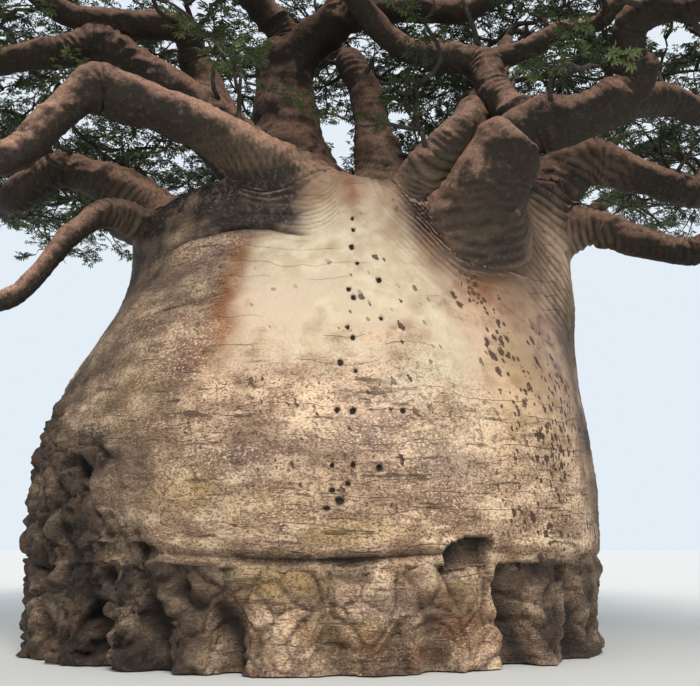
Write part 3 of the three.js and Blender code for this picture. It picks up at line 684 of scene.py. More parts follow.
def pleats(angle, height, wander):
    """Narrow ridges and the shade in their valleys: level on the left, slanting down to the right in
    the middle, and fanned out on the right, where the slant eases towards the top."""
    line = np.interp(swept(angle), *PLEATED)
    above = height - line + 0.03 * wander
    left = smooth(-152, -138, swept(angle)) * smooth(-78, -84, swept(angle))
    left = left * smooth(-0.12, 0.1, above) * smooth(0.8, 0.5, above) * (0.55 + 0.6 * wander)
    slant = height + 0.065 * turned(angle, -60) + 0.06 * wander
    middle = bump(turned(angle, -53), 9) * smooth(5.3, 5.8, height)
    right = 1.3 * bump(turned(angle, -18), 13) * smooth(4.4, 5.2, height) * (0.8 + 0.5 * wander)
    fanned = height + (0.045 - 0.025 * smooth(5.2, 6.4, height)) * turned(angle, -20) + 0.06 * wander
    between = 0.5 * bump(turned(angle, -42), 8) * smooth(5.1, 5.4, height)
    sets = [(left, above / 0.078, 2), (middle, slant / 0.125, 1.6), (right, fanned / 0.165, 1.2),
            (between, (height + 0.03 * wander) / 0.11, 2)]  # share, ridges counted, how thin the shade is
    lift = np.max([zone * ridges(value) for zone, value, _ in sets], axis=0)
    shade = np.max([zone * (1 - ridges(value)) ** sharp for zone, value, sharp in sets], axis=0)
    return lift, shade


FOLD_GAP = 0.115  # metres between the folds that ring a bough's foot


def ringing(apart, wander):
    """Ridges that follow the other body's skin: one for each gap away from it, a little shaken."""
    return ridges(apart / FOLD_GAP + 0.8 * wander)


def ring_folds(points, to_bough, wander):
    """Folds that ring each bough, and come and go."""
    rings = ringing(to_bough, wander) * bump(to_bough, 0.8)
    return rings * (0.3 + 0.7 * smooth(-0.2, 0.35, noise(points, 1.1, 43)))


# %% Relief of trunk and boughs
BOULDERS = (0.42, 5)  # size and seed


def trunk_relief(points):
    """Height of the bark above the plain form: swells, lumps, hollows and fine skin."""
    angle, height = polar(points)
    rough = rough_share(angle, height)
    swells = 0.045 * noise(points, 1.9, 1) + 0.02 * noise(points, 0.7, 2)
    shaken = shaken_places(points)
    boulders, seams = knobs(shaken, *BOULDERS)
    large_lumps = 0.06 * lumps(shaken, 0.8, 3)
    fine_lumps = 0.05 * lumps(shaken, 0.2, 6) + 0.02 * lumps(points, 0.11, 9)
    crags = large_lumps + 0.13 * boulders - 0.02 + fine_lumps
    crags = crags - 0.15 * hollow_share(shaken) - 0.03 * seams
    base = large_lumps + 0.08 * boulders - 0.03 + 0.5 * fine_lumps - 0.02 * seams
    base = base - 0.1 * valley_share(shaken)
    skin = (0.004 + 0.006 * smooth(4.3, 3.4, height)) * noise(points * [1, 1, 2.2], 0.15, 10)
    skin = skin + 0.004 * noise(points, 0.07, 7)
    return swells + rough * crags + (1 - rough) * foot_share(height) * base + skin


def bough_relief(points):
    """Bark of the boughs: lazy swells, burls, patches of knobs and a fine grain."""
    lumpy = smooth(-0.15, 0.45, noise(points, 1.1, 11))
    first, _, chance = cells(points, 0.85, 16)
    burls = (chance < 0.3) * (1 - smooth(0.0, 0.3, first)) * (0.06 + 0.2 * chance)
    return (0.035 * noise(points, 0.65, 12) + 0.022 * noise(points, 0.27, 13) + burls
            + lumpy * (0.04 * lumps(points, 0.22, 14) + 0.035 * knobs(points, 0.17, 17)[0])
            + 0.006 * noise(points, 0.07, 15))


trunk_angle, trunk_height = polar(flat)
wander = noise(flat, 0.8, 41) + 0.3 * noise(flat, 0.3, 42)
pegs, clefts = peg_depth(trunk_angle, trunk_height), cleft_share(trunk_angle, trunk_height)
fold_depth, fold_shade = fold_lines(trunk_angle, trunk_height, wander)
pleat_lift, pleat_shade = pleats(trunk_angle, trunk_height, wander)
relief = trunk_relief(grown) * (1 - trunk_share) + bough_relief(grown) * trunk_share
ringed_share = 0.8 - 0.7 * bump(turned(trunk_angle, -18), 12)
relief += 0.036 * np.maximum(pleat_lift, ringed_share * ring_folds(flat, to_bough, wander))
relief -= fold_depth + 0.05 * smooth(0.1, 0.6, pegs) + 0.13 * clefts
relief -= scar_depth(trunk_angle, trunk_height)
out = grid_normals(grown.reshape(trunk_grid.shape)).reshape(-1, 3)
bark_grid = (grown + out * relief[:, None]).reshape(trunk_grid.shape)
bark_grid[..., 2] = np.maximum(bark_grid[..., 2], 0)
bark_grid[0, :, 2] = 0
bark_normals = grid_normals(bark_grid)
print("relief from", round(float(relief.min()), 3), "to", round(float(relief.max()), 3), "m")

# %% [markdown]
# ## Colour has its places too
# The old skin peels to a smooth cream above the middle, with a rust stain on its left. It is
# grey under the boughs, where water runs down, and there painted shade also stands for the
# boughs' shadow. It is brown on the craggy flank, which is darkened further with painted shade
# where it turns from the lamp, and painted shade makes each hollow, cleft and crease near black.
# Each zone is a row of soft hills of angle and height, broken up by noise and stored on
# the points. The shader mixes the finishes, and adds the grain that is too fine for the mesh.

# %% Zones of colour on the trunk
HILLS = {  # angle, height, the hill's two widths, and its strength
    "cream": [
        (-82, 5.1, 26, 1.2, 1.25), (-62, 4.1, 14, 1.2, 0.9), (-103, 4.9, 9, 1.1, 0.9),
        (-70, 6.2, 8, 0.6, 0.9), (95, 4.6, 42, 1.2, 0.8),
    ],
    "rust": [
        (-78, 0.35, 6, 0.22, 0.7), (-91, 0.5, 5, 0.3, 0.6), (-66, 0.25, 6, 0.25, 0.8),
        (-111.5, 5.0, 3.5, 0.75, 1.3), (-110, 4.4, 4.5, 0.5, 0.8), (-114, 4.2, 8, 0.5, 0.5),
        (-76, 6.6, 5, 0.3, 0.9), (-54, 5.7, 5, 0.35, 0.8), (-45, 5.1, 6, 0.35, 0.9),
        (-58, 0.5, 9, 0.35, 0.9), (-66, 6.3, 4, 0.5, 0.5), (-94, 6.45, 9, 0.2, 0.5),
        (60, 4.9, 9, 1.0, 0.8), (140, 5.2, 5, 0.9, 0.9),
    ],
    "ochre": [
        (-114, 2.2, 7, 0.22, 1.0), (-95, 1.1, 9, 0.22, 1.0), (-80, 1.68, 9, 0.12, 0.9),
        (-82, 0.5, 9, 0.2, 0.8), (-129, 3.5, 8, 0.5, 0.5), (-57, 1.0, 6, 0.12, 0.9),
        (-100, 2.0, 12, 0.3, 0.4), (-44, 3.2, 8, 0.8, 0.5), (30, 2.0, 20, 0.5, 0.7),
        (110, 1.6, 15, 0.4, 0.8), (170, 2.6, 15, 0.4, 0.7),
    ],
    "violet": [
        (-103, 2.5, 6, 0.4, 0.8), (-78, 2.8, 10, 0.4, 0.7), (-117, 4.1, 4, 0.6, 0.8),
        (-75, 0.85, 6, 0.3, 0.9), (-27, 4.4, 8, 0.9, 0.9), (-62, 2.6, 8, 0.3, 0.5),
        (-118, 5.4, 9, 0.5, 0.8), (-109, 5.85, 4, 0.2, 0.8), (50, 3.2, 18, 0.6, 0.7),
        (130, 3.4, 14, 0.6, 0.7),
    ],
    "pitted": [
        (-47, 5.0, 3.0, 0.3, 1.0), (-44.5, 4.3, 3.2, 0.55, 0.7), (-41, 3.5, 6, 0.6, 0.5),
        (-36, 2.9, 9, 0.7, 0.5), (-29, 3.5, 5, 0.7, 0.5), (-38, 2.0, 12, 0.7, 0.3),
        (-82, 2.9, 30, 1.0, 0.05), (-72, 4.6, 8, 1.4, 0.06), (70, 3.4, 20, 1.4, 0.3),
        (150, 3.0, 20, 1.0, 0.3),
    ],
}


def trunk_zones(points, angle, height):
    """Shares of each finish from 0 to 1: hills of angle and height with ragged, noisy edges."""
    ragged = 0.55 * noise(points, 0.7, 51) + 0.35 * noise(points, 0.26, 52)
    left, front = swept(angle), turned(angle, -80)
    # Grey where water runs down from the boughs, and painted shade there too, where the boughs and the crown
    # shade the trunk.
    wet_and_shade = np.max([  # under the fork, beside it, above the pleats, the left neck, round the rim
        bump(turned(angle, -41), 10) * smooth(5.1, 5.6, height - 0.02 * turned(angle, -44)),
        0.75 * bump(turned(angle, -53), 7) * smooth(5.6, 6.0, height),
        smooth(-0.1, 0.12, height - np.interp(left, *PLEATED)) * smooth(-88, -100, left)
        * smooth(-200, -160, left),
        0.7 * smooth(-128, -140, left) * smooth(4.9, 5.6, height),
        (0.5 + 0.5 * smooth(6.6, 7.0, height)) * smooth(6.1, 6.9, height) * smooth(22, 60, np.abs(front)),
    ], axis=0)
    low = smooth(CREASE["height"] + 0.02, CREASE["height"] - 0.1, height)
    # Dark brown bark on the crags, the foot and the wound; on the craggy flank, the right edge, the back and
    # the three patches on the left it is also painted shade where the trunk turns from the lamp.
    dark = np.max([  # crags, foot, its right end, wound, right edge, back, and three on the left
        rough_share(angle, height),
        low * (0.3 + 0.6 * smooth(-100, -111, left)),
        0.8 * low * smooth(-46, -38, left),
        0.7 * (scar_depth(angle, height) > 0.02),
        0.75 * smooth(52, 66, front) * smooth(6.0, 4.5, height),
        0.5 * smooth(60, 110, np.abs(front)) * smooth(5.0, 3.5, height),
        0.6 * smooth(-108, -132, left) * smooth(5.9, 4.9, height),
        0.22 * smooth(-70, -110, left) * smooth(3.6, 2.6, height),
        0.55 * smooth(-106, -124, left) * smooth(3.9, 3.1, height),
    ], axis=0)
    zones = {"wet_and_shade": wet_and_shade, "dark": dark, **{name: hills(angle, height, HILLS[name])
                                          for name in ("cream", "rust", "ochre", "violet")}}
    zones = {name: np.clip(share * (1 + ragged) + 0.25 * ragged * (share > 0.03), 0, 1)
             for name, share in zones.items()}
    worn = smooth(4.6, 3.3, height + 0.03 * np.maximum(0, turned(angle, -66)) + 0.5 * ragged)
    zones["worn"] = np.maximum(worn, smooth(-104, -116, left)) * (1 - 0.8 * zones["wet_and_shade"])
    zones["pitted"] = hills(angle, height, HILLS["pitted"])
    return zones


trunk_marks = trunk_zones(grown, trunk_angle, trunk_height)
# How far above the crease each row is, before the wall's slow wave.
above_crease = np.repeat(np.append(heights, np.full(CAP_ROWS, RIM)), COLUMNS) - CREASE["height"]
# Painted shade along the level crease.
painted_crease_shade = bump(above_crease - 0.008 * wander, 0.022) * bump(turned(trunk_angle, -84), 34)
# Painted highlight: a light lower lip under the crease, added to the cream mark.
lip = bump(above_crease + 0.06, 0.014) * bump(turned(trunk_angle, -84), 9)
trunk_marks["cream"] = np.maximum(trunk_marks["cream"], lip)
rough, at_foot = rough_share(trunk_angle, trunk_height), foot_share(trunk_height)
shaken = shaken_places(grown)
_, seam_shade = knobs(shaken, *BOULDERS)
outer = smooth(-96, -112, swept(trunk_angle)) + smooth(-48, -36, swept(trunk_angle))
# Painted shade on the craggy flank and on the outer ends of the foot.
painted_flank_shade = np.maximum(rough, at_foot * outer) * (0.45 + 0.4 * smooth(-0.3, 0.4, noise(flat, 0.5, 37)))
# Painted shade on the left neck, inside the grey zone under the boughs.
neck = trunk_marks["wet_and_shade"] * smooth(-94, -112, swept(trunk_angle)) * smooth(-0.6, 0.6, wander)
# The deep mark is painted shade: near black in clefts, folds, pleat valleys, under the wound's lip, in the
# crease, the flank's hollows and seams, the foot's valleys, and over the flank and neck.
trunk_marks["deep"] = np.max([
    0.95 * clefts, fold_shade, 0.85 * pleat_shade, scar_shade(trunk_angle, trunk_height), painted_crease_shade,
    0.95 * rough * hollow_share(shaken), 0.75 * np.maximum(rough, 0.8 * at_foot) * seam_shade,
    (0.55 + 0.35 * outer) * at_foot * valley_share(shaken), 0.75 * painted_flank_shade, 0.6 * neck], axis=0)
trunk_marks["peg"] = pegs
trunk_marks["limb"] = smooth(0.0, 0.75, trunk_share)
print({name: round(float(share.mean()), 3) for name, share in trunk_marks.items()})

# %% [markdown]
# ## From arrays to a mesh
# A grid's points become a mesh in one go. Each cell between two rows and two columns is a quad,
# the last column joins the first, and a fan of triangles over an end closes it. The normals of
# the whole form are handed to each piece.

# %% Mesh from a grid that closes round
def join_mesh(name, points, faces_of_4, faces_of_3, normals=None, marks=None):
    """Mesh object from arrays: all corners in one row, quads first and then triangles."""
    mesh = bpy.data.meshes.new(name)
    mesh.vertices.add(len(points))
    mesh.vertices.foreach_set("co", np.ascontiguousarray(points, np.float32).ravel())
    corners = np.concatenate([faces_of_4.ravel(), faces_of_3.ravel()]).astype(np.int32)
    sizes = np.repeat([4, 3], [len(faces_of_4), len(faces_of_3)])
    mesh.loops.add(len(corners))
    mesh.loops.foreach_set("vertex_index", corners)
    mesh.polygons.add(len(sizes))
    mesh.polygons.foreach_set("loop_start", (np.cumsum(sizes) - sizes).astype(np.int32))
    mesh.update(calc_edges=True)
    mesh.polygons.foreach_set("use_smooth", np.ones(len(sizes), bool))
    for mark, values in (marks or {}).items():
        attribute = mesh.attributes.new(mark, "FLOAT", "POINT")
        attribute.data.foreach_set("value", np.ascontiguousarray(values, np.float32))
    if normals is not None:
        mesh.normals_split_custom_set_from_vertices(normals.astype(np.float32).tolist())
    piece = bpy.data.objects.new(name, mesh)
    bpy.context.collection.objects.link(piece)
    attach(piece, "root")
    return piece


def wrapped(name, grid, normals, marks, close_start=None, close_end=None):
    """Skin of a grid that closes round its columns, with a fan over an end that is given a point."""
    rows, columns = grid.shape[:2]
    index = np.arange(rows * columns).reshape(rows, columns)
    right = np.roll(index, -1, axis=1)
    quads = np.stack([index[:-1], right[:-1], right[1:], index[1:]], -1).reshape(-1, 4)
    points, turns, fans = [grid.reshape(-1, 3)], [normals.reshape(-1, 3)], [np.empty((0, 3), int)]
    padding = {mark: [values] for mark, values in marks.items()}
    for middle, row in ((close_start, 0), (close_end, -1)):
        if middle is None:
            continue
        tip = np.full(columns, rows * columns + len(points) - 1)
        fans.append(np.stack([tip, right[0], index[0]] if row == 0 else [tip, index[-1], right[-1]], -1))
        across = np.cross(grid[row, columns // 4] - middle, grid[row, 0] - middle)
        points.append(np.array([middle]))
        turns.append(unit(across if row == 0 else -across)[None])
        for mark, values in marks.items():
            padding[mark].append(values[row * columns:][:1] if row else values[:1])
    padded = {mark: np.concatenate(values) for mark, values in padding.items()}
    return join_mesh(name, np.vstack(points), quads, np.vstack(fans), np.vstack(turns), padded)


# %% [markdown]
# ## Shader sums as plain sums
# A finish is mostly arithmetic on masks. So one small class wraps a socket, and plus, minus and
# times on it add the Math node. Colours go through Mix, and any other node comes from one method.

# %% A socket that can be added and multiplied
class Wire:
    """The output of a shader node. Sums and products with numbers or other wires add Math nodes."""

    def __init__(self, tree, socket=None):
        self.tree, self.socket = tree, socket

    def node(self, kind, settings=None, values=None, output=0):
        """Adds a node: its settings first, then a number, colour or wire for each named input."""
        node = self.tree.nodes.new(kind)
        for key, value in (settings or {}).items():
            setattr(node, key, value)
        for key, value in (values or {}).items():
            if isinstance(value, Wire):
                self.tree.links.new(value.socket, node.inputs[key])
            else:
                node.inputs[key].default_value = value
        return Wire(self.tree, node.outputs[output]) if len(node.outputs) else node

    def math(self, operation, *values):
        return self.node("ShaderNodeMath", {"operation": operation}, dict(enumerate(values)))

    def __add__(self, other):
        return self.math("ADD", self, other)

    def __sub__(self, other):
        return self.math("SUBTRACT", self, other)

    def __rsub__(self, other):
        return self.math("SUBTRACT", other, self)

    def __mul__(self, other):
        return self.math("MULTIPLY", self, other)

    __radd__ = __add__
    __rmul__ = __mul__

    def step(self, low, high):
        """Eased step of this wire from 0 at low to 1 at high."""
        return self.node("ShaderNodeMapRange", {"interpolation_type": "SMOOTHSTEP"},
                         {"Value": self, "From Min": low, "From Max": high})

    def mixed(self, below, above):
        """Colour that goes from below to above as this wire goes from 0 to 1."""
        colours = {6: below, 7: above}
        values = {key: value if isinstance(value, Wire) else (*value, 1) for key, value in colours.items()}
        return self.node("ShaderNodeMix", {"data_type": "RGBA"}, {0: self, **values}, output=2)

    def into(self, shader, socket):
        self.tree.links.new(self.socket, shader.inputs[socket])


def new_finish(name):
    """A material, its shader, a wire to start from and the object's coordinates."""
    material = bpy.data.materials.new(name)
    material.use_nodes = True
    start = Wire(material.node_tree)
    place = start.node("ShaderNodeTexCoord", output=3)
    return material, material.node_tree.nodes["Principled BSDF"], start, place


def facing_up(start):
    """Height part of the normal: 1 on top and -1 underneath."""
    normal = start.node("ShaderNodeNewGeometry", output=1)
    return start.node("ShaderNodeSeparateXYZ", None, {0: normal}, output=2)


# %% [markdown]
# ## The bark's finish
# One finish serves trunk and boughs, so that they match where they meet. Its base is a pinkish tan
# with paler and darker patches. Over it come the zones, then what is finer than the mesh: hairline
# cracks, where the sine of a shaken height is near 0, short level dashes from a noise squeezed in
# height, slanting pits from a stretched cell pattern, and a salt-and-pepper grain where the old
# skin is worn. Tops of boughs get painted sunlight and their undersides painted shade, as the
# normal's height tells.

# %% Bark finish
def stretched(start, place, sizes):
    """Object coordinates scaled by a factor for each axis."""
    return start.node("ShaderNodeVectorMath", {"operation": "MULTIPLY"}, {0: place, 1: sizes})


def bark_finish(name):
    """Principled finish: zones of colour from the points' marks, mottling, cracks and a fine bump."""
    material, shader, start, place = new_finish(name)

    def spots(scale, detail, sizes=(1, 1, 1), rough=0.55):
        return start.node("ShaderNodeTexNoise", None, {
            "Vector": stretched(start, place, sizes), "Scale": scale, "Detail": detail, "Roughness": rough})

    def mark(label):
        return start.node("ShaderNodeAttribute", {"attribute_name": label}, output=2)

    rise_of_place = start.node("ShaderNodeSeparateXYZ", None, {0: place}, output=2)

    def lines_across(gap, thickness):
        """Level lines that wander: where the sine of the height, shaken by a noise, is near 0."""
        phase = rise_of_place * (np.pi / gap) + spots(0.7, 3, (1, 1, 0.5)) * (0.6 * np.pi / gap)
        half = thickness * np.pi / (2 * gap)
        wave = phase.math("SINE", phase)
        return wave.math("ABSOLUTE", wave).step(half, half * 0.3)

    labels = ("cream", "rust", "wet_and_shade", "dark", "ochre", "violet", "worn", "pitted", "deep", "peg", "limb")
    cream, rust, wet_and_shade, dark, ochre, violet, worn, pitted, deep, peg, limb = map(mark, labels)
    broad, middle, fine_grain = spots(0.9, 3), spots(4, 4), spots(16, 4)
    grit = spots(27, 3, (1, 1, 1.7), 0.7)
    bands = spots(1.3, 3, (0.4, 0.4, 1.8)).step(0.38, 0.62)
    patches = spots(2.4, 5, (0.6, 0.6, 1.5), 0.62)
    dashes = spots(1.5, 4, (1, 1, 7.5), 0.62).step(0.585, 0.66)
    cracks = lines_across(0.21, 0.013) * spots(1.0, 2, (0.45, 0.45, 3.4)).step(0.53, 0.58)
    scratches = lines_across(0.075, 0.009) * spots(1.0, 2, (1.5, 1.5, 9)).step(0.56, 0.62)

    tan = broad.step(0.38, 0.62).mixed((0.42, 0.27, 0.165), (0.66, 0.45, 0.295))
    tan = middle.step(0.45, 0.7).mixed(tan, (0.31, 0.19, 0.115))
    tan = (patches.step(0.5, 0.64) * (worn * 0.6 + 0.15)).mixed(tan, (0.21, 0.12, 0.072))
    tan = (patches.step(0.5, 0.37) * worn * 0.85).mixed(tan, (0.87, 0.635, 0.415))
    creamy = middle.step(0.3, 0.7).mixed((0.72, 0.60, 0.42), (0.56, 0.435, 0.285))
    creamy = broad.step(0.42, 0.6).mixed(creamy, (0.63, 0.49, 0.35))
    colour = cream.step(0.05, 0.85).mixed(tan, creamy)
    colour = (violet * (middle.step(0.25, 0.6) * 0.5 + 0.35)).mixed(colour, (0.21, 0.135, 0.125))
    colour = (ochre * (middle.step(0.3, 0.6) * 0.5 + 0.4)).mixed(colour, (0.52, 0.34, 0.13))
    colour = (rust * (middle.step(0.25, 0.55) * 0.5 + 0.45)).mixed(colour, (0.27, 0.105, 0.038))
    # Dark brown bark, partly painted shade on the flanks and edges that turn from the lamp.
    browned_and_shaded = middle.step(0.38, 0.66).mixed((0.012, 0.008, 0.005), (0.085, 0.052, 0.033))
    browned_and_shaded = (fine_grain.step(0.55, 0.66) * 0.7).mixed(browned_and_shaded, (0.20, 0.125, 0.085))
    colour = (dark * (broad.step(0.3, 0.6) * 0.25 + 0.75)).mixed(colour, browned_and_shaded)
    # Grey wet bark, darkened further as painted shade under the boughs.
    greyed = middle.step(0.35, 0.65).mixed((0.016, 0.011, 0.009), (0.07, 0.048, 0.036))
    greyed = (fine_grain.step(0.5, 0.64) * 0.6).mixed(greyed, (0.19, 0.135, 0.11))
    colour = wet_and_shade.mixed(colour, greyed)

    # Painted sunlight and shade: bough tops light pinkish-tan and undersides near black, as the normal's
    # height and a noise tell; the pale flecks also gather on the lit tops.
    painted_sunlight = (facing_up(start) + (middle - 0.5) * 1.1).step(-0.1, 0.75)
    limb_colour = painted_sunlight.mixed((0.021, 0.014, 0.008), (0.70, 0.395, 0.27))
    limb_colour = (middle.step(0.46, 0.66) * (painted_sunlight * 0.45 + 0.1)).mixed(limb_colour, (0.10, 0.062, 0.038))
    limb_colour = (fine_grain.step(0.52, 0.66) * (painted_sunlight * 0.4 + 0.05)).mixed(limb_colour, (0.62, 0.44, 0.33))
    limb_colour = (grit.step(0.5, 0.38) * 0.6).mixed(limb_colour, (0.022, 0.017, 0.012))
    colour = limb.mixed(colour, limb_colour)

    open_bark = 1 - limb
    salt = grit.step(0.53, 0.63) * (worn * 0.9 * bands * (1 - dark) + dark * 0.06) * open_bark
    colour = salt.mixed(colour, (0.90, 0.67, 0.46))
    pepper = grit.step(0.49, 0.38) * (worn * (0.95 - bands * 0.5) * (1 - dark) + dark * 0.5) * open_bark
    colour = pepper.mixed(colour, (0.05, 0.028, 0.018))
    blotch = fine_grain.step(0.48, 0.36) * worn * open_bark * 0.6
    colour = blotch.mixed(colour, (0.13, 0.075, 0.046))
    lined = (cracks * 0.7 + scratches * 0.5 * worn + dashes * 0.8 * worn) * open_bark
    lined = lined * (1 - wet_and_shade) * (1 - dark * 0.5) * (1 - cream * 0.6)
    colour = lined.mixed(colour, (0.07, 0.042, 0.028))
    tilted = start.node("ShaderNodeVectorRotate", {"rotation_type": "Y_AXIS"},
                        {"Vector": place, "Angle": 0.4})
    ragged = (fine_grain - 0.5) * 0.9 + (grit - 0.5) * 0.6

    def pits(scale, size):
        """Slanting pits: near the seed of a long cell, where the cell's chance is below the mark."""
        cell = {"Vector": stretched(start, tilted, (1, 1, 0.55)), "Scale": scale, "Randomness": 1.0}
        apart = start.node("ShaderNodeTexVoronoi", None, cell) + ragged
        drawn = start.node("ShaderNodeSeparateColor", None,
                           {0: start.node("ShaderNodeTexVoronoi", None, cell, output=1)})
        return apart.step(size, size - 0.14) * (pitted - drawn).step(-0.03, 0.03)

    # Dark pits and peg holes, where the bump also sinks them: painted shade in these small recesses.
    wells = pits(9.5, 0.41)
    wells = wells.math("MAXIMUM", wells, pits(17, 0.4)) * open_bark
    colour = (wells * 0.9).mixed(colour, (0.055, 0.027, 0.017))
    holes = (peg * 1.3 + ragged * 1.3).step(0.3, 0.62) * peg.step(0.0, 0.2)
    colour = holes.mixed(colour, (0.022, 0.015, 0.011))
    # Painted shade: where the deep mark is, the bark turns near black.
    colour = deep.mixed(colour, (0.013, 0.009, 0.007))
    colour.into(shader, "Base Color")
    (0.66 + middle * 0.2 - cream * 0.14).into(shader, "Roughness")
    height = fine_grain * 0.45 + middle * 0.5 + patches * 0.4 + grit * (worn * 0.5 + dark * 0.4 + limb * 0.35)
    height = height - lined * 0.5 - wells * 0.9 - holes
    relief = start.node("ShaderNodeBump", None, {"Strength": 0.85, "Distance": 0.045, "Height": height})
    relief.into(shader, "Normal")
    shader.inputs["Specular IOR Level"].default_value = 0.35
    return material


trunk_bark, bough_bark = bark_finish("trunk bark"), bark_finish("bough bark")

# %% The trunk in four pieces
first_rows = np.append(0, np.cumsum([rows for _, rows in BANDS.values()]))
first_rows[-1] = len(walls) - 1
for name, low, high in zip(BANDS, first_rows[:-1], first_rows[1:] + 1):
    marks = {mark: values.reshape(trunk_grid.shape[:2])[low:high].ravel()
             for mark, values in trunk_marks.items()}
    piece = wrapped(
        "trunk_" + name, bark_grid[low:high], bark_normals[low:high], marks,
        close_start=(0, 0, 0) if low == 0 else None,
        close_end=bark_grid[-1].mean(0) if high == len(walls) else None)
    piece.data.materials.append(trunk_bark)
    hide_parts("trunk")
    print(piece.name, 2 * len(piece.data.polygons), "triangles at most")

# %% [markdown]
# ## Skin of the boughs
# Each bough is a ring carried along its path. Rings swell and shrink with slow noise, so no
# stretch is a plain tube. Near the trunk, its bearer and its own boughs it is grown together as
# the trunk was. At its tip it narrows to the stem of the leaves that carry on from it.

# %% Samples of the trunk as a body
SAMPLE_ROWS = {"wall": 26, "cap": 22}
sample_angles = np.arange(0, 360, 2.5)
sample_walls = np.append(np.linspace(4.0, 2 * STRAIGHT, SAMPLE_ROWS["wall"]),
                         np.full(SAMPLE_ROWS["cap"], 2 * STRAIGHT))
sample_caps = np.append(np.zeros(SAMPLE_ROWS["wall"]), np.linspace(0.04, 0.98, SAMPLE_ROWS["cap"]))
samples = trunk_point(sample_angles[None, :], sample_walls[:, None], sample_caps[:, None])
sample_normals = grid_normals(samples).reshape(-1, 3)
samples = samples.reshape(-1, 3)
BATCH = 2000  # points at a time, to save memory


def from_trunk(points):
    """Distance to the trunk and its slope: the nearest four samples' planes, weighed by nearness."""
    distance, slope = np.zeros(len(points)), np.zeros_like(points)
    for low in range(0, len(points), BATCH):
        part = points[low:low + BATCH]
        apart = ((part**2).sum(1)[:, None] - 2 * part @ samples.T + (samples**2).sum(1)[None, :])
        near = np.argpartition(apart, 4, axis=1)[:, :4]
        weight = 1 / (np.take_along_axis(apart, near, 1).clip(1e-4) ** 2)
        weight = (weight / weight.sum(1, keepdims=True))[..., None]
        planes = ((part[:, None] - samples[near]) * sample_normals[near]).sum(-1, keepdims=True)
        distance[low:low + BATCH] = (planes * weight).sum(1)[:, 0]
        slope[low:low + BATCH] = unit((sample_normals[near] * weight).sum(1))
    return distance, slope


# %% Rings of a bough and the bodies it meets
STEM = {"length": 1.15, "radius": 0.095, "taper": 0.8}
BOUGH_SIDES = 36
WRINKLE_GAP = 0.105  # metres between the wrinkles across a bough


def bough_rings(name):
    """Rings along the path: the radius, some slow swelling, and a tip that narrows to its stem."""
    path = fine[name]
    travelled, left = path["travelled"], path["travelled"][-1] - path["travelled"]
    lazy = noise(np.stack([travelled, np.zeros_like(travelled), path["radius"]], -1), 0.55, 61)
    radius = path["radius"] * (1 + 0.07 * lazy * smooth(0, 0.6, travelled) * smooth(0, 0.5, left))
    stem = min(STEM["radius"], STEM["taper"] * path["radius"][-1])
    radius = radius + (stem * 1.06 - radius) * smooth(0.35, 0, left)
    turns = np.linspace(0, 2 * np.pi, BOUGH_SIDES, endpoint=False)
    up = np.cross(path["along"], path["side"])
    ring = (path["side"][:, None] * np.cos(turns)[None, :, None]
            + up[:, None] * np.sin(turns)[None, :, None])
    return path["place"][:, None] + ring * radius[:, None, None], ring


def meets(name):
    """Other boughs that this one is joined to: its bearer and those that leave it."""
    return [other for other in BOUGHS
            if other == bearer_of(name)[0] or bearer_of(other)[0] == name]


def near_path(points, other, reach):
    """A bough as a body: the points near it and its distance there."""
    line = thinned(fine[other], len(fine[other]["place"]) - 1, 60)
    close = np.linalg.norm(points[:, None] - line["place"][None, ::3], axis=-1).min(1)
    near = np.flatnonzero(close < line["radius"].max() + reach + 0.5)
    return near, lambda p: from_path(p, line), reach


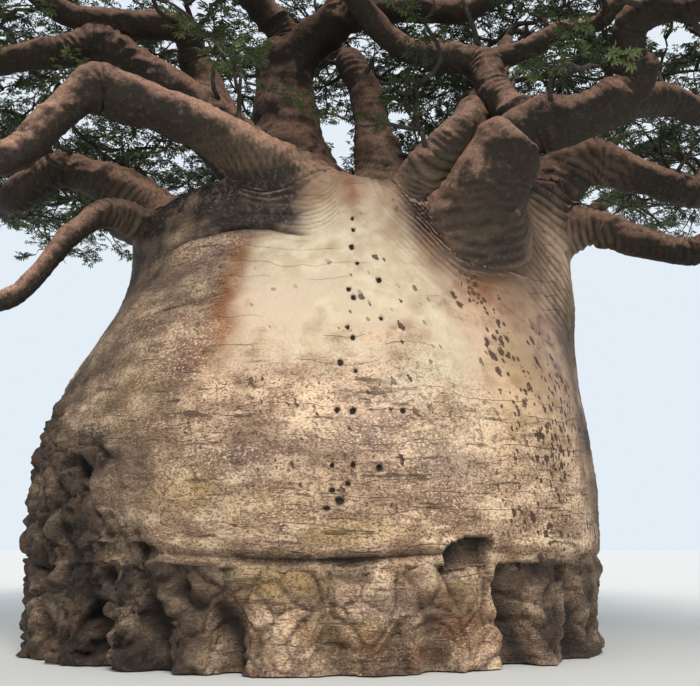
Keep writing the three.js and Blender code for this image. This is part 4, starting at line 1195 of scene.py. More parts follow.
# %% Every bough with its bark
bough_triangles = 0
for name in BOUGHS:
    path = fine[name]
    rings, ring_normals = bough_rings(name)
    points, normals = rings.reshape(-1, 3), ring_normals.reshape(-1, 3)
    bodies = [near_path(points, other, 0.55 * min(path["radius"][0], fine[other]["radius"][0]))
              for other in meets(name)]
    share, to_trunk = np.zeros(len(points)), np.full(len(points), FAR)
    if bearer_of(name)[0] is None:
        near = np.flatnonzero((np.linalg.norm(points[:, :2], axis=1) < 5.2) & (points[:, 2] < 9.2))
        reach = TRUNK_BLEND * path["radius"][0]
        bodies.append((near, from_trunk, reach))
        to_trunk[near] = from_trunk(points[near])[0]
        share[near] = np.clip(0.5 - 0.5 * to_trunk[near] / reach, 0, 1)
    moved, _ = grown_together(points, normals, [body for body in bodies if len(body[0])])

    size = np.repeat(np.clip(path["radius"] / 0.3, 0.35, 1), BOUGH_SIDES)
    travelled = np.repeat(path["travelled"], BOUGH_SIDES)
    bend = np.linalg.norm(np.gradient(path["along"], RING_GAP, axis=0), axis=1)
    bend = np.repeat(smooth(0.25, 1.0, bend), BOUGH_SIDES)
    warp = noise(moved, 0.5, 71)
    wrinkle = ridges(travelled / WRINKLE_GAP + 0.7 * warp)
    wrinkled = np.maximum(smooth(0.05, 0.45, noise(moved, 0.8, 72)), 0.9 * bend) * smooth(0, 0.4, travelled)
    outside, collar = to_trunk > 0, ringing(to_trunk, warp)
    lift = bough_relief(moved) * (1 - share) + trunk_relief(moved) * share
    lift = lift * size + 0.028 * wrinkle * wrinkled * size + 0.03 * collar * bump(to_trunk, 0.7) * outside
    lift = lift * smooth(0, 0.25, path["travelled"][-1] - travelled)
    outward = grid_normals(moved.reshape(rings.shape)).reshape(-1, 3)
    skin = (moved + outward * lift[:, None]).reshape(rings.shape)

    known = smooth(0, 0.2, share)
    marks = {mark: values * known for mark, values in trunk_zones(moved, *polar(moved)).items()}
    # Painted highlight: the crests of the folds round a bough's foot take the paler trunk colour.
    painted_crest_light = collar * bump(to_trunk, 0.6) * outside
    marks["limb"] = (1 - smooth(0.25, 1.0, share)) * (1 - 0.4 * painted_crest_light)
    # Painted shade on the boughs: dark wrinkle valleys and collar folds, and a painted shadow of the crown on
    # the boughs near the trunk's axis.
    painted_crown_shadow = 0.4 * bump(np.hypot(points[:, 0], points[:, 1]), 2.0) * smooth(6.8, 7.6, points[:, 2])
    marks["deep"] = np.max([0.75 * (1 - wrinkle) ** 2 * wrinkled,
                            0.6 * (1 - collar) ** 2 * bump(to_trunk, 0.7) * outside, painted_crown_shadow], axis=0)
    marks["peg"] = np.zeros(len(points))
    piece = wrapped("bark_" + name, skin, grid_normals(skin), marks,
                    close_start=skin[0].mean(0), close_end=skin[-1].mean(0))
    piece.data.materials.append(bough_bark)
    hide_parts("bough_" + name)
    bough_triangles += 2 * len(piece.data.polygons)
print(bough_triangles, "triangles on the boughs")

# %% [markdown]
# ## The crown's rule of growth
# A mass of leaves grows on from the tip of its bough: a stem, five limbs round it a golden turn
# apart, and a fork on each. Each keeps to its own space, an egg-shaped room that ends halfway to
# the next mass, and stops before it nears a bough. The frame's masses were grown by this rule
# from these numbers and the same rolls, so the twigs here are the frame's own.

# %% Numbers of the crown
BEARERS = {
    "front_left": "front_left_rise", "left": "left_behind", "upper_left": "upper_left",
    "top_left": "leader_left", "top": "leader_right", "top_right": "top_right",
    "back_inner": "centre_back", "back_inner_right": "centre_right", "front_inner": "fork_up",
    "front_inner_right": "fork_arc", "front_right": "hook", "right": "right_upper",
    "right_back": "right_shoulder", "right_low": "right_lower", "left_back": "left_shoulder",
    **{name: name for name in (
        "left_low", "back_left", "back_left_inner", "back_centre_left", "back_centre_right",
        "back_right_inner", "back_right", "front_top_left", "front_top_right")},
}  # the bough that bears each mass
SPACE = {"width": 3.0, "height": 1.65, "ahead": 1.5, "above": 0.7, "margin": 0.11}
SMALL_SPACE = {"left_low": (1.9, 1.1)}
GAP, FIRST_SEED, GOLDEN_TURN = 0.00035, 101, 137.5
LIMB = {"count": 5, "lowest": 0.4, "highest": 0.97, "spread": 52, "looseness": 26, "wander": 35,
        "radius": 0.062, "most": 2.4, "least": 0.4}
FORK = {"place": 0.5, "turn": 75, "spread": 48, "wander": 57, "radius": 0.036, "most": 1.5, "least": 0.3}
TRIES = (0, 35, -35)
TWIG = {"taper": 0.8, "flatten": 0.55, "lift": 0.1, "clearance": 0.06}
SPRAY = {"spacing": 1.2, "bare": 0.25, "spread": 48, "wander": 57, "sink": 0.026, "length": 1.4,
         "looseness": 0.25, "shortest": 0.7, "width": 0.55, "widest": 0.55, "fold": 0.12}


# %% Spaces of the masses and what stands in their way
def mass_of(name):
    """Where a mass grows: its root at the bough's tip, and the middle and half sizes of its space."""
    path = coarse[BEARERS[name]]
    width, height = SMALL_SPACE.get(name, (SPACE["width"], SPACE["height"]))
    level = unit(path["along"][-1] * np.array([1, 1, 0]))
    middle = path["place"][-1] + level * SPACE["ahead"] * width / SPACE["width"] + [0, 0, SPACE["above"]]
    return {"name": name, "root": path["place"][-1] + path["along"][-1] * GAP, "middle": middle,
            "along": path["along"][-1], "half": np.array([width, width, height]),
            "thick": path["radius"][-1]}


masses = [mass_of(name) for name in BEARERS]
middles = np.array([mass["middle"] for mass in masses])
in_way = [(a, b, r, -1) for path in coarse.values()
          for a, b, r in zip(path["place"][:-1], path["place"][1:], path["radius"][:-1])]
in_way += [(m["root"], m["root"] + m["along"] * STEM["length"], STEM["radius"], i)
           for i, m in enumerate(masses)]
way_start, way_end, way_radius, way_owner = (np.array(column) for column in zip(*in_way))


def in_space(which, points, margin):
    """True in the mass's egg and nearer its middle than any other's, by more than the margin."""
    mass = masses[which]
    inside = np.linalg.norm((points - mass["middle"]) / mass["half"], axis=-1) < 1
    squares = ((points[:, None] - middles[None]) ** 2).sum(-1)
    between = np.maximum(np.linalg.norm(middles - mass["middle"], axis=-1), 1e-6)
    excess = (squares - squares[:, which : which + 1]) / (2 * between)
    excess[:, which] = FAR
    return inside & (excess > margin).all(axis=1)


def touches(which, points, clearance):
    """True where a point is nearer than the clearance to a bough or to another mass's stem."""
    run = way_end - way_start
    share = ((points[:, None] - way_start) * run).sum(-1) / (run**2).sum(-1)
    nearest = way_start + np.clip(share, 0, 1)[..., None] * run
    apart = np.linalg.norm(points[:, None] - nearest, axis=-1)
    return ((apart < way_radius + clearance) & (way_owner != which)).any(axis=1)


ANYWHERE = -2  # in place of a mass's number: growth that keeps to no space


def rooms(which, starts, directions, most):
    """How far growth can go, in steps of 0.1 m, before it leaves its space or nears a limb."""
    steps = np.ceil(np.round(np.asarray(most) * 1000, 6) / 100).astype(int)
    count = int(steps.max())
    far = 0.1 * np.arange(1, count + 1)
    spots = (starts[:, None] + directions[:, None] * far[None, :, None]).reshape(-1, 3)
    clear = ~touches(which, spots, TWIG["clearance"] + SPACE["margin"])
    if which != ANYWHERE:
        clear &= in_space(which, spots, SPACE["margin"])
    clear = clear.reshape(len(starts), count) & (np.arange(count)[None, :] < steps[:, None])
    return 0.1 * np.cumprod(clear, axis=1).sum(axis=1)


# %% The frame's twigs and sprays, grown again
def spun(vectors, axes, degrees):
    """Vectors turned about axes: the part along the axis stays and the rest turns in its plane."""
    angle = np.radians(degrees)[..., None]
    kept = axes * (vectors * axes).sum(-1, keepdims=True)
    return kept + (vectors - kept) * np.cos(angle) + np.cross(axes, vectors) * np.sin(angle)


def leaning(direction, turn, spread):
    """Direction that leans away from another by a spread, turned about it."""
    side = unit(np.stack([-direction[..., 1], direction[..., 0], direction[..., 0] * 0], -1))
    return spun(spun(direction, side, np.asarray(spread)), direction, np.asarray(turn))


def settled(direction):
    """Twigs lie flatter than by chance, and a little upwards."""
    height = direction[..., 2:] * TWIG["flatten"] + TWIG["lift"]
    return unit(np.concatenate([direction[..., :2], height], -1))


def grown_twig(which, start, bearing, turn, spread, rule):
    """The roomiest of a few turns about the bearer, short enough for a spray to carry on."""
    ways = settled(leaning(np.tile(bearing, (3, 1)), turn + np.array(TRIES), np.full(3, spread)))
    most = np.full(3, rule["most"] + SPRAY["length"])
    lengths = rooms(which, np.tile(start, (3, 1)), ways, most) - SPRAY["length"]
    best = int(np.argmax(np.round(lengths, 6)))
    if round(lengths[best], 6) < rule["least"]:
        return []
    return [{"start": start, "way": ways[best], "length": lengths[best], "radius": rule["radius"]}]


def spray_points(root, way, length):
    """Root, tip and raised flanks of a spray's folded outline."""
    side = unit(np.array([-way[1], way[0], 0]))
    flanks = root + way * SPRAY["widest"] * length + np.cross(way, side) * SPRAY["fold"] * length
    reach = side * 0.5 * SPRAY["width"] * length
    return np.array([root, root + way * length, flanks + reach, flanks - reach])


def twig_sprays(which, index, twig, roll):
    """Sprays round a twig, a golden turn apart, the last on from its tip."""
    leafy = 1 - SPRAY["bare"]
    count = int(np.ceil(leafy * twig["length"] / SPRAY["spacing"] - 1e-9))
    found = []
    for i in range(count):
        share = 1 - leafy * i / count
        turn = i * GOLDEN_TURN + SPRAY["wander"] * roll()
        way = settled(leaning(twig["way"], turn, SPRAY["spread"] if i else 0))
        root = twig["start"] + twig["way"] * (twig["length"] * share - SPRAY["sink"])
        most = SPRAY["length"] * (1 - SPRAY["looseness"] * roll())
        length = rooms(which, root[None], way[None], np.array([most]))[0]
        points = spray_points(root, way, length)
        clear = in_space(which, points, GAP).all() and not touches(which, points, TWIG["clearance"]).any()
        if round(length, 6) > SPRAY["shortest"] and clear:
            found.append({"start": root, "way": way, "length": length, "bearer": index, "share": share})
    return found


def grow_mass(which):
    """Stem, limbs and forks of a mass, and its sprays, all from one seeded row of rolls."""
    mass, roll = masses[which], dice(FIRST_SEED + which)
    stem = {"start": mass["root"], "way": mass["along"], "length": STEM["length"], "share": 0,
            "radius": min(STEM["radius"], STEM["taper"] * mass["thick"]), "bearer": -1}
    twigs = [stem]
    for limb in range(LIMB["count"]):
        share = LIMB["lowest"] + (LIMB["highest"] - LIMB["lowest"]) * limb / (LIMB["count"] - 1)
        start = stem["start"] + stem["way"] * share * stem["length"]
        spread = 0 if limb == LIMB["count"] - 1 else LIMB["spread"] + LIMB["looseness"] * roll()
        turn = limb * GOLDEN_TURN + LIMB["wander"] * roll()
        for twig in grown_twig(which, start, stem["way"], turn, spread, LIMB):
            twigs.append({**twig, "bearer": 0, "share": share})
            place = len(twigs) - 1
            foot = start + twig["way"] * FORK["place"] * twig["length"]
            side = (FORK["turn"] if limb % 2 else -FORK["turn"]) + FORK["wander"] * roll()
            for fork in grown_twig(which, foot, twig["way"], side, FORK["spread"], FORK):
                twigs.append({**fork, "bearer": place, "share": FORK["place"]})
    sprays = [spray for index, twig in enumerate(twigs[1:], 1)
              for spray in twig_sprays(which, index, twig, roll)]
    return twigs, sprays


crowns = [grow_mass(which) for which in range(len(masses))]
print(sum(len(t) for t, _ in crowns), "twigs and", sum(len(s) for _, s in crowns), "sprays of the frame")

# %% [markdown]
# ## Finer twigs
# The frame's twigs leave most of each space empty, where a real crown is an even lace. So spots
# are scattered through the space, and each is reached by a thin fork from the twig that is
# nearest, where a fork that runs on with its bearer counts as nearer than one that turns back.
# Real twigs do the same: they grow to where there is light.

# %% Forks towards the empty spots
chance = np.random.default_rng(2024)
FILL = {"gap": 0.98, "shyness": 0.42, "clear": 0.2, "turning": 0.7, "longest": 2.3, "radius": 0.02}


def empty_spots(which):
    """Spots on a shaken grid, inside the mass's space and clear of the boughs."""
    mass, gap = masses[which], FILL["gap"]
    reach = [np.arange(-half, half + gap, gap) for half in mass["half"]]
    spots = np.stack(np.meshgrid(*reach), -1).reshape(-1, 3)
    spots = mass["middle"] + spots + chance.uniform(-0.45, 0.45, spots.shape) * gap
    clear = in_space(which, spots, SPACE["margin"] + 0.1)
    return spots[clear & ~touches(which, spots, FILL["clear"])]


def stops_along(twig, index):
    """Places along a twig where another may start: place, direction, no radius, number, share."""
    share = np.arange(0.25, 1.0, 0.14 / max(twig["length"], 0.14))
    place = twig["start"] + twig["way"] * (twig["length"] * share)[:, None]
    count = len(share)
    return np.column_stack([place, np.tile(twig["way"], (count, 1)), np.zeros(count),
                            np.full(count, index), share])


def cheapest(spots, stops, first):
    """Cost and number of each spot's cheapest stop: the way from its skin times
    1 + turning (1 - cosine)."""
    apart = spots[:, None] - stops[None, :, :3]
    distance = np.linalg.norm(apart, axis=-1)
    cosine = (apart * stops[None, :, 3:6]).sum(-1) / np.maximum(distance, 1e-6)
    cost = (distance - stops[None, :, 6]) * (1 + FILL["turning"] * (1 - cosine))
    best = cost.argmin(axis=1)
    return cost[np.arange(len(spots)), best], best + first


def away_from(spots, stops, shyness):
    """True for spots that are further than this from every stop."""
    return np.linalg.norm(spots[:, None] - stops[None, :, :3], axis=-1).min(axis=1) > shyness


def grown_to(spots, stops, shyness, may_grow, first):
    """Twigs to the spots, cheapest first. Each adds its own stops and serves the spots near it."""
    added = []
    cost, best = cheapest(spots, stops, 0)
    while len(spots):
        spot = cost.argmin()
        stop = stops[best[spot]]
        run = spots[spot] - stop[:3]
        length = np.linalg.norm(run)
        keep = np.arange(len(spots)) != spot
        if may_grow(stop[:3] + run * np.linspace(0.1, 1, 12)[:, None], stop, length):
            twig = {"start": stop[:3], "way": run / length, "length": length,
                    "bearer": int(stop[7]), "share": stop[8]}
            more = stops_along(twig, first + len(added))
            newer, number = cheapest(spots, more, len(stops))
            cost, best = np.where(newer < cost, newer, cost), np.where(newer < cost, number, best)
            stops = np.vstack([stops, more])
            added.append(twig)
            keep &= away_from(spots, more, shyness)
        spots, cost, best = spots[keep], cost[keep], best[keep]
    return added


def filled(which, twigs):
    """Forks of a mass to the empty spots of its space."""
    stops = np.vstack([stops_along(twig, i) for i, twig in enumerate(twigs)])
    spots = empty_spots(which)
    spots = spots[away_from(spots, stops, FILL["shyness"])]

    def may_grow(line, _, length):
        free = in_space(which, line, GAP).all() and not touches(which, line, TWIG["clearance"]).any()
        return length < FILL["longest"] and free

    return [{**fork, "radius": FILL["radius"]}
            for fork in grown_to(spots, stops, FILL["shyness"], may_grow, len(twigs))]


forks = [filled(which, twigs) for which, (twigs, _) in enumerate(crowns)]
longest = max(fork["length"] for extra in forks for fork in extra)
print(sum(map(len, forks)), "thin forks, up to", round(longest, 1), "m long")

# %% [markdown]
# ## Side branches
# A bough is never bare between the trunk and its mass of leaves. It sends up thin, crooked side
# branches wherever light comes in, and these close the sky between the boughs. They are grown
# like the forks, but straight from the boughs. The picture shows the boughs' front bare, so spots
# that stand before a bough, seen from there, are left out.

# %% Side branches of the boughs
BRANCH = {"gap": 0.8, "nearest": 0.3, "farthest": 2.0, "above": -0.3, "shyness": 0.5, "longest": 1.9,
          "radius": 0.036, "thickest": 0.055, "lowest": 7.3, "bare": 1.2, "beside": 0.14}


def bough_stops():
    """Places along the boughs' lines, past their bare start: direction, radius, no number or share."""
    rows = []
    for path in fine.values():
        keep = np.flatnonzero(path["travelled"] > BRANCH["bare"])[::5]
        rows.append(np.column_stack([path["place"][keep], path["along"][keep], path["radius"][keep],
                                     np.full(len(keep), -1), np.zeros(len(keep))]))
    return np.vstack(rows)


def hides(points, stops):
    """True where a bough lies behind a point: further along the sight line, and less than its
    radius and a bit beside that line."""
    eye = np.array(camera.location)
    away = np.linalg.norm(points - eye, axis=1)[:, None]
    rest = stops[:, :3] - eye
    ahead = (points - eye) / away @ rest.T
    beside = np.sqrt(np.maximum((rest**2).sum(1)[None] - ahead**2, 0))
    return ((ahead > away + 0.1) & (beside < stops[None, :, 6] + BRANCH["beside"])).any(axis=1)


def open_spots(stops, taken):
    """Spots of a shaken grid over the whole crown, near a bough and not near any twig."""
    low, high = np.array(cad_box[0]) + 0.3, np.array(cad_box[1]) - 0.1
    reach = [np.arange(a, b, BRANCH["gap"]) for a, b in zip(low, high)]
    spots = np.stack(np.meshgrid(*reach), -1).reshape(-1, 3)
    spots = spots[spots[:, 2] > BRANCH["lowest"]]
    spots = spots + chance.uniform(-0.45, 0.45, spots.shape) * BRANCH["gap"]
    found = []
    for part in np.array_split(spots, 40):
        apart = np.linalg.norm(part[:, None] - stops[None, :, :3], axis=-1)
        best = apart.argmin(axis=1)
        clear = apart.min(axis=1) - stops[best, 6]
        keep = (clear > BRANCH["nearest"]) & (clear < BRANCH["farthest"])
        keep &= (part[:, 2] > stops[best, 2] + BRANCH["above"]) & ~hides(part, stops)
        part = part[keep]
        away = np.linalg.norm(part[:, None] - taken[None], axis=-1).min(axis=1)
        found.append(part[away > BRANCH["shyness"]])
    return np.vstack(found)


def branched():
    """Side branches to the open spots: a stop on a bough or on an earlier branch bears each."""
    stops = bough_stops()
    taken = np.vstack([stops_along(twig, 0)[:, :3]
                       for (own, _), extra in zip(crowns, forks) for twig in own + extra])

    def may_grow(line, stop, length):
        across = np.linalg.norm(np.cross(line - stop[:3], stop[3:6]), axis=1)
        free = not touches(ANYWHERE, line[across > stop[6] + 0.05], 0.03).any()
        return BRANCH["nearest"] < length < BRANCH["longest"] and free

    found = grown_to(open_spots(stops, taken), stops, BRANCH["shyness"], may_grow, 0)
    for twig in found:
        tip = twig["start"] + twig["way"] * twig["length"]
        twig["radius"] = BRANCH["thickest"] if twig["bearer"] < 0 else BRANCH["radius"]
        twig["mass"] = int(np.linalg.norm(middles - tip, axis=1).argmin())
    return found


branches = branched()
print(len(branches), "side branches")

# %% [markdown]
# ## Leafy shoots
# Shoots stand along each limb and fork, a golden turn apart, where there is room. Each carries
# twiglets to its left and right, longest past its middle, as a fern's blade has. No real twig is
# straight: its line bows by a sine of its length, and a child starts on its bearer's bowed line
# and eases back to its own.

# %% Shoots along the twigs
SHOOT = {"spacing": 0.44, "lowest": 0.3, "spread": 48, "looseness": 20, "most": 1.1, "least": 0.25,
         "leafy": 0.7}
LEAFY = ("front_left", "left", "upper_left")  # the leafiest masses, low on the left
grown_sets = [(which, own + forks[which], sprays) for which, (own, sprays) in enumerate(crowns)]
grown_sets.append((ANYWHERE, branches, []))
twig_rows, shoot_rows = [], []
for which, twigs, sprays in grown_sets:
    first = len(twig_rows)
    twig_rows += [{"mass": which, "side": which == ANYWHERE, **twig,
                   "bearer": twig["bearer"] + first if twig["bearer"] >= 0 else -1} for twig in twigs]
    shoot_rows += [{**spray, "mass": which, "bearer": spray["bearer"] + first} for spray in sprays]
    starts, ways, mosts, bearers, shares = [], [], [], [], []
    for index, twig in enumerate(twigs):
        if twig["bearer"] < 0 and which != ANYWHERE:
            continue
        spacing = SHOOT["spacing"] * (SHOOT["leafy"] if which >= 0 and masses[which]["name"] in LEAFY else 1)
        count = int(twig["length"] * (1 - SHOOT["lowest"]) / spacing) + 1
        share = np.linspace(0.97, SHOOT["lowest"], count, endpoint=count > 1)
        turn = np.arange(count) * GOLDEN_TURN + chance.uniform(0, SPRAY["wander"], count) + 60
        spread = SHOOT["spread"] + SHOOT["looseness"] * chance.uniform(-1, 1, count)
        spread[0] *= 0.3  # the outermost nearly runs on
        ways.append(settled(leaning(np.tile(twig["way"], (count, 1)), turn, spread)))
        starts.append(twig["start"] + twig["way"] * (twig["length"] * share)[:, None])
        mosts.append(SHOOT["most"] * chance.uniform(0.5, 1, count) * (0.75 if which == ANYWHERE else 1))
        bearers.append(np.full(count, index + first))
        shares.append(share)
    starts, ways, mosts, bearers, shares = map(np.concatenate, (starts, ways, mosts, bearers, shares))
    lengths = np.minimum(rooms(which, starts, ways, mosts), mosts)
    for start, way_out, length, bearer, share in zip(starts, ways, lengths, bearers, shares):
        if length > SHOOT["least"]:
            shoot_rows.append({"start": start, "way": way_out, "length": length, "bearer": bearer,
                               "share": share, "mass": twig_rows[bearer]["mass"]})


def table(rows, keys):
    """Rows of growth as one array for each key."""
    return {key: np.array([row[key] for row in rows]) for key in keys}


twigs = table(twig_rows, ("start", "way", "length", "radius", "bearer", "share", "mass", "side"))
shoots = table(shoot_rows, ("start", "way", "length", "bearer", "share", "mass"))
print(len(shoots["length"]), "leafy shoots")


# %% Bowed lines
def bows(count, lengths, size):
    """Three sideways vectors for each line: chance directions, as a share of the line's length."""
    fade = np.array([1, 0.75, 0.45])[:, None, None]
    return chance.normal(0, 1, (3, count, 3)) * fade * (size * lengths)[None, :, None]


def line_point(lines, share):
    """Point at a share of a bowed line: its straight way, sines of one to three half waves, and
    the bearer's own bow, which fades with the square of what is left."""
    share = np.asarray(share)[..., None]
    pick = (slice(None),) + (None,) * (share.ndim - 2)
    straight = lines["start"][pick] + lines["way"][pick] * lines["length"][pick][..., None] * share
    bow = sum(lines["bow"][i][pick] * np.sin((i + 1) * np.pi * share) for i in range(3))
    return straight + bow + lines["off"][pick] * (1 - share) ** 2


def picked(lines, keep):
    """The lines that a mask or a row of numbers picks."""
    return {key: value[:, keep] if key == "bow" else value[keep] for key, value in lines.items()}


def offsets(bearers, index, share):
    """How far the bearer's bowed line is from its straight one where each child starts."""
    part = picked(bearers, index)
    straight = part["start"] + part["way"] * (part["length"] * share)[:, None]
    return line_point(part, share) - straight


is_stem = (twigs["bearer"] < 0) & ~twigs["side"]
crookedness = np.where(twigs["radius"] > FILL["radius"], 0.03, 0.055)
crookedness = np.where(is_stem, 0, np.where(twigs["side"], 0.07, crookedness))
twigs["bow"] = bows(len(is_stem), twigs["length"], crookedness)
twigs["off"] = np.zeros_like(twigs["start"])
grown_on = twigs["bearer"] >= 0
for _ in range(8):  # each round carries the bows one bearer further out
    twigs["off"][grown_on] = offsets(twigs, twigs["bearer"][grown_on], twigs["share"][grown_on])
shoots["bow"] = bows(len(shoots["length"]), shoots["length"], 0.035)
shoots["off"] = offsets(twigs, shoots["bearer"], shoots["share"])

# %% Twiglets of each shoot
TWIGLETS = 7
each = (len(shoots["length"]), TWIGLETS)
shoot_share = np.linspace(0.14, 0.98, TWIGLETS)[None, :] + chance.uniform(-0.03, 0.02, each)
side_sign = np.where((np.arange(TWIGLETS) + chance.integers(0, 2, (each[0], 1))) % 2, 1, -1)
side = unit(shoots["way"][:, [1, 0, 2]] * [-1, 1, 0])
raised = np.cross(shoots["way"], side)
lean = np.radians(chance.uniform(38, 62, shoot_share.shape))[..., None]
tilt = chance.normal(0.12, 0.3, shoot_share.shape)[..., None]
sideways = unit(side[:, None] * side_sign[..., None] + raised[:, None] * tilt)
twiglet_way = unit(shoots["way"][:, None] * np.cos(lean) + sideways * np.sin(lean))
blade = np.sin(np.pi * np.clip(0.12 + 0.8 * shoot_share, 0, 1)) ** 0.8
twiglet_length = 0.36 * np.maximum(shoots["length"], 0.6)[:, None] * blade
twiglet_length = twiglet_length * chance.uniform(0.75, 1.1, each)
twiglets = {
    "start": line_point(shoots, shoot_share).reshape(-1, 3), "way": twiglet_way.reshape(-1, 3),
    "length": np.maximum(twiglet_length, 0.12).ravel(), "mass": np.repeat(shoots["mass"], TWIGLETS),
    "shoot": np.repeat(np.arange(len(shoots["length"])), TWIGLETS),
}
twiglets["bow"] = bows(len(twiglets["length"]), twiglets["length"], 0.05)
twiglets["off"] = np.zeros_like(twiglets["start"])
CROWN_TOP = cad_box[1][2] + 0.26
twiglets = picked(twiglets, line_point(twiglets, np.full(len(twiglets["length"]), 1.0))[:, 2] < CROWN_TOP)
print(len(twiglets["length"]), "twiglets")

# %% [markdown]
# ## Twigs as tubes
# All twigs of a kind are worked out together: an array of lines, rows along them and corners round
# them. The radius shrinks evenly. The last row closes on one point, and a flat fan closes the
# first. A twiglet is the least of them: a spike of four triangles.

# %% Tubes along many lines at once
def tubes(lines, start_radius, end_radius, sides, rows):
    """Points and faces of tubes: rings of corners round each bowed line, closed at both ends."""
    count = len(lines["length"])
    shares = np.linspace(0, 1, rows)
    middle = line_point(lines, np.tile(shares, (count, 1)))
    along = unit(np.gradient(middle, axis=1))
    across = unit(np.cross(along, np.where(np.abs(along[..., 2:]) > 0.9, [1.0, 0, 0], [0, 0, 1.0])))
    over = np.cross(along, across)
    turn = np.linspace(0, 2 * np.pi, sides, endpoint=False)
    radius = start_radius[:, None] + (end_radius - start_radius)[:, None] * shares[None]
    ring = across[:, :, None] * np.cos(turn)[:, None] + over[:, :, None] * np.sin(turn)[:, None]
    ring = middle[:, :, None] + ring * radius[..., None, None]
    body = np.concatenate([ring[:, :-1].reshape(count, -1, 3), middle[:, -1:]], axis=1)
    index = np.arange((rows - 1) * sides).reshape(rows - 1, sides)
    right = np.roll(index, -1, axis=1)
    quads = np.stack([index[:-1], right[:-1], right[1:], index[1:]], -1).reshape(-1, 4)
    tip = np.full(sides, (rows - 1) * sides)
    heel = np.zeros(sides - 2, int)
    fans = np.concatenate([
        np.stack([index[-1], right[-1], tip], -1),
        np.stack([index[0, 2:], index[0, 1:-1], heel], -1)])
    step = (np.arange(count) * body.shape[1])[:, None, None]
    return body.reshape(-1, 3), (quads[None] + step).reshape(-1, 4), (fans[None] + step).reshape(-1, 3)


def stacked(parts):
    """Several sets of points and faces as one, with the face numbers moved on."""
    points, quads, fans, total = [], [], [], 0
    for p, q, f in parts:
        points.append(p)
        quads.append(q + total)
        fans.append(f + total)
        total += len(p)
    return np.vstack(points), np.vstack(quads), np.vstack(fans)


# %% Finish of the twigs
def twig_finish():
    """Grey-brown skin, mottled along and across, with painted light that makes it paler on top."""
    material, shader, start, place = new_finish("twig skin")
    mottle = start.node("ShaderNodeTexNoise", None, {"Vector": place, "Scale": 9, "Detail": 3})
    # Painted light: the normal's height makes the top paler, over a real mottle.
    pale = (mottle + facing_up(start) * 0.2).step(0.4, 0.75)
    pale.mixed((0.032, 0.025, 0.019), (0.12, 0.09, 0.067)).into(shader, "Base Color")
    lump = start.node("ShaderNodeTexNoise", None, {"Vector": place, "Scale": 40, "Detail": 2})
    relief = start.node("ShaderNodeBump", None, {"Strength": 0.6, "Distance": 0.01, "Height": lump})
    relief.into(shader, "Normal")
    shader.inputs["Roughness"].default_value = 0.85
    return material


twig_skin = twig_finish()

# %% Twig pieces, front and back
is_front = middles[:, 1] < 0
regions = {"front": is_front, "back": ~is_front}


def stands_for(region):
    """The piece stands for the region's masses."""
    names = ["leaves_" + mass["name"] for mass, inside in zip(masses, regions[region]) if inside]
    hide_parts(*names)


for region, inside in regions.items():
    is_thick = twigs["radius"] > FILL["radius"]
    thick = picked(twigs, inside[twigs["mass"]] & is_thick)
    thin = picked(twigs, inside[twigs["mass"]] & ~is_thick)
    shoot = picked(shoots, inside[shoots["mass"]])
    small = picked(twiglets, inside[twiglets["mass"]])
    same = np.ones(len(small["length"]))
    kinds = {
        "twigs_": [tubes(thick, thick["radius"] * 1.05, thick["radius"] * 0.4, 7, 10),
                   tubes(thin, thin["radius"] + 0.004 * thin["length"], thin["radius"] * 0.4, 5, 7),
                   tubes(shoot, 0.012 + 0.011 * shoot["length"], np.full(len(shoot["length"]), 0.005), 4, 6)],
        "twiglets_": [tubes(small, 0.01 * same, 0 * same, 3, 2)],
    }
    for kind, parts in kinds.items():
        piece = join_mesh(kind + region, *stacked(parts))
        piece.data.materials.append(twig_skin)
        stands_for(region)
        piece.data.calc_loop_triangles()
        print(piece.name, len(piece.data.loop_triangles), "triangles")

# %% [markdown]
# ## Leaves
# A baobab's leaf is a hand: five leaflets spread from one point, each a pointed blade folded
# along its middle. Three hands sit on each twiglet. A leaflet is two triangles that share the
# fold. The tints are dealt out by shoot: most dark, some fresh, and a few yellow-green tufts.

# %% Hands of five leaflets
LEAFLET_TURNS = np.radians([-84, -42, 0, 42, 84])
LEAFLET_SIZES = np.array([0.72, 0.94, 1.0, 0.94, 0.72])


def leaf_hands(places, forward, upward, sizes):
    """Points and faces of hands: each leaflet has its base, its tip and two flanks."""
    over = unit(upward)
    ahead = unit(forward - over * (forward * over).sum(-1, keepdims=True))
    across = np.cross(over, ahead)
    spread = (ahead[:, None] * np.cos(LEAFLET_TURNS)[None, :, None]
              + across[:, None] * np.sin(LEAFLET_TURNS)[None, :, None])
    beside = np.cross(over[:, None], spread)
    length = (sizes[:, None] * LEAFLET_SIZES[None])[..., None]
    base = places[:, None] + spread * 0.1 * length
    tip = places[:, None] + spread * length - over[:, None] * 0.3 * length
    wide = places[:, None] + spread * 0.58 * length - over[:, None] * 0.04 * length
    flanks = beside * 0.16 * length
    points = np.stack([base, wide + flanks, tip, wide - flanks], 2).reshape(-1, 3)
    first = (np.arange(len(places) * 5) * 4)[:, None]
    faces = np.concatenate([first + [0, 2, 1], first + [0, 3, 2]])
    return points, faces


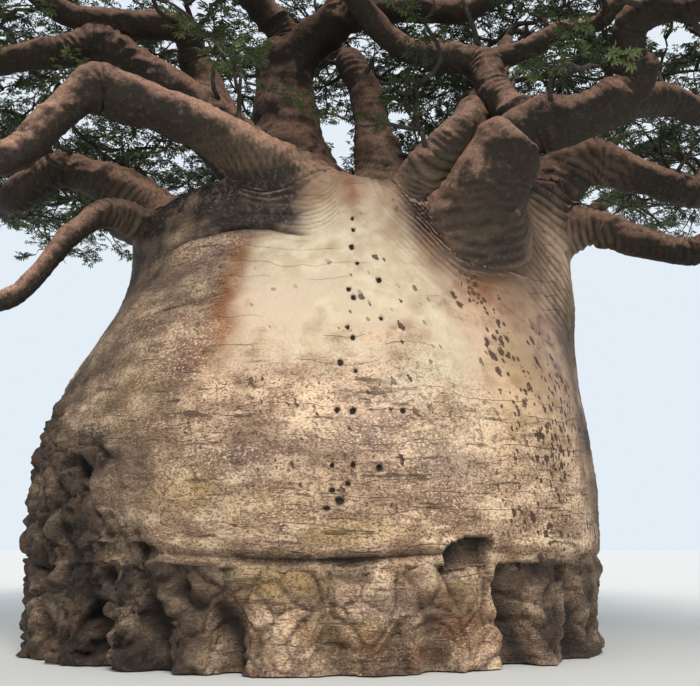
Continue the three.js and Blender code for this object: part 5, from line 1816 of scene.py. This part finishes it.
HANDS = np.array([0.45, 0.75, 1.02])
count = len(twiglets["length"])
hand_place = line_point(twiglets, np.tile(HANDS, (count, 1))).reshape(-1, 3)
hand_way = np.repeat(twiglets["way"], len(HANDS), axis=0)
hand_forward = hand_way + chance.normal(0, 0.55, hand_way.shape)
hand_up = np.array([0, 0, 1.0]) + chance.normal(0, 0.42, hand_way.shape)
hand_size = chance.uniform(0.09, 0.15, len(hand_way))
hand_mass = np.repeat(twiglets["mass"], len(HANDS))
hand_shoot = np.repeat(twiglets["shoot"], len(HANDS))
hand_place = hand_place + chance.normal(0, 0.015, hand_place.shape)

bright_chance = np.where([mass["name"] in LEAFY for mass in masses], 0.5, 0.12)
shoot_roll = chance.random(len(shoots["length"]))
bright = shoot_roll < bright_chance[shoots["mass"]]
fresh = ~bright & (shoot_roll < bright_chance[shoots["mass"]] + 0.4)
tint_of_shoot = np.where(bright, 2, np.where(fresh, 1, 0))
print(len(hand_size), "leaves")

# %% Leaf pieces
TINTS = {"dark": ((0.024, 0.042, 0.014), (0.048, 0.072, 0.026)),
         "fresh": ((0.058, 0.092, 0.028), (0.100, 0.140, 0.050)),
         "bright": ((0.110, 0.160, 0.045), (0.200, 0.250, 0.095))}


def leaf_finish(name, deep, pale):
    """Matt green that drifts between two near greens from leaf to leaf."""
    material, shader, start, place = new_finish("leaf " + name)
    drift = start.node("ShaderNodeTexNoise", None, {"Vector": place, "Scale": 7, "Detail": 2})
    drift.step(0.35, 0.65).mixed(deep, pale).into(shader, "Base Color")
    shader.inputs["Roughness"].default_value = 0.5
    shader.inputs["Specular IOR Level"].default_value = 0.3
    return material


for number, (tint, (deep, pale)) in enumerate(TINTS.items()):
    finish = leaf_finish(tint, deep, pale)
    for region, inside in regions.items():
        keep = inside[hand_mass] & (tint_of_shoot[hand_shoot] == number)
        points, faces = leaf_hands(hand_place[keep], hand_forward[keep], hand_up[keep], hand_size[keep])
        piece = join_mesh(f"foliage_{tint}_{region}", points, np.empty((0, 4), int), faces)
        piece.data.materials.append(finish)
        stands_for(region)
        print(piece.name, len(faces), "triangles")
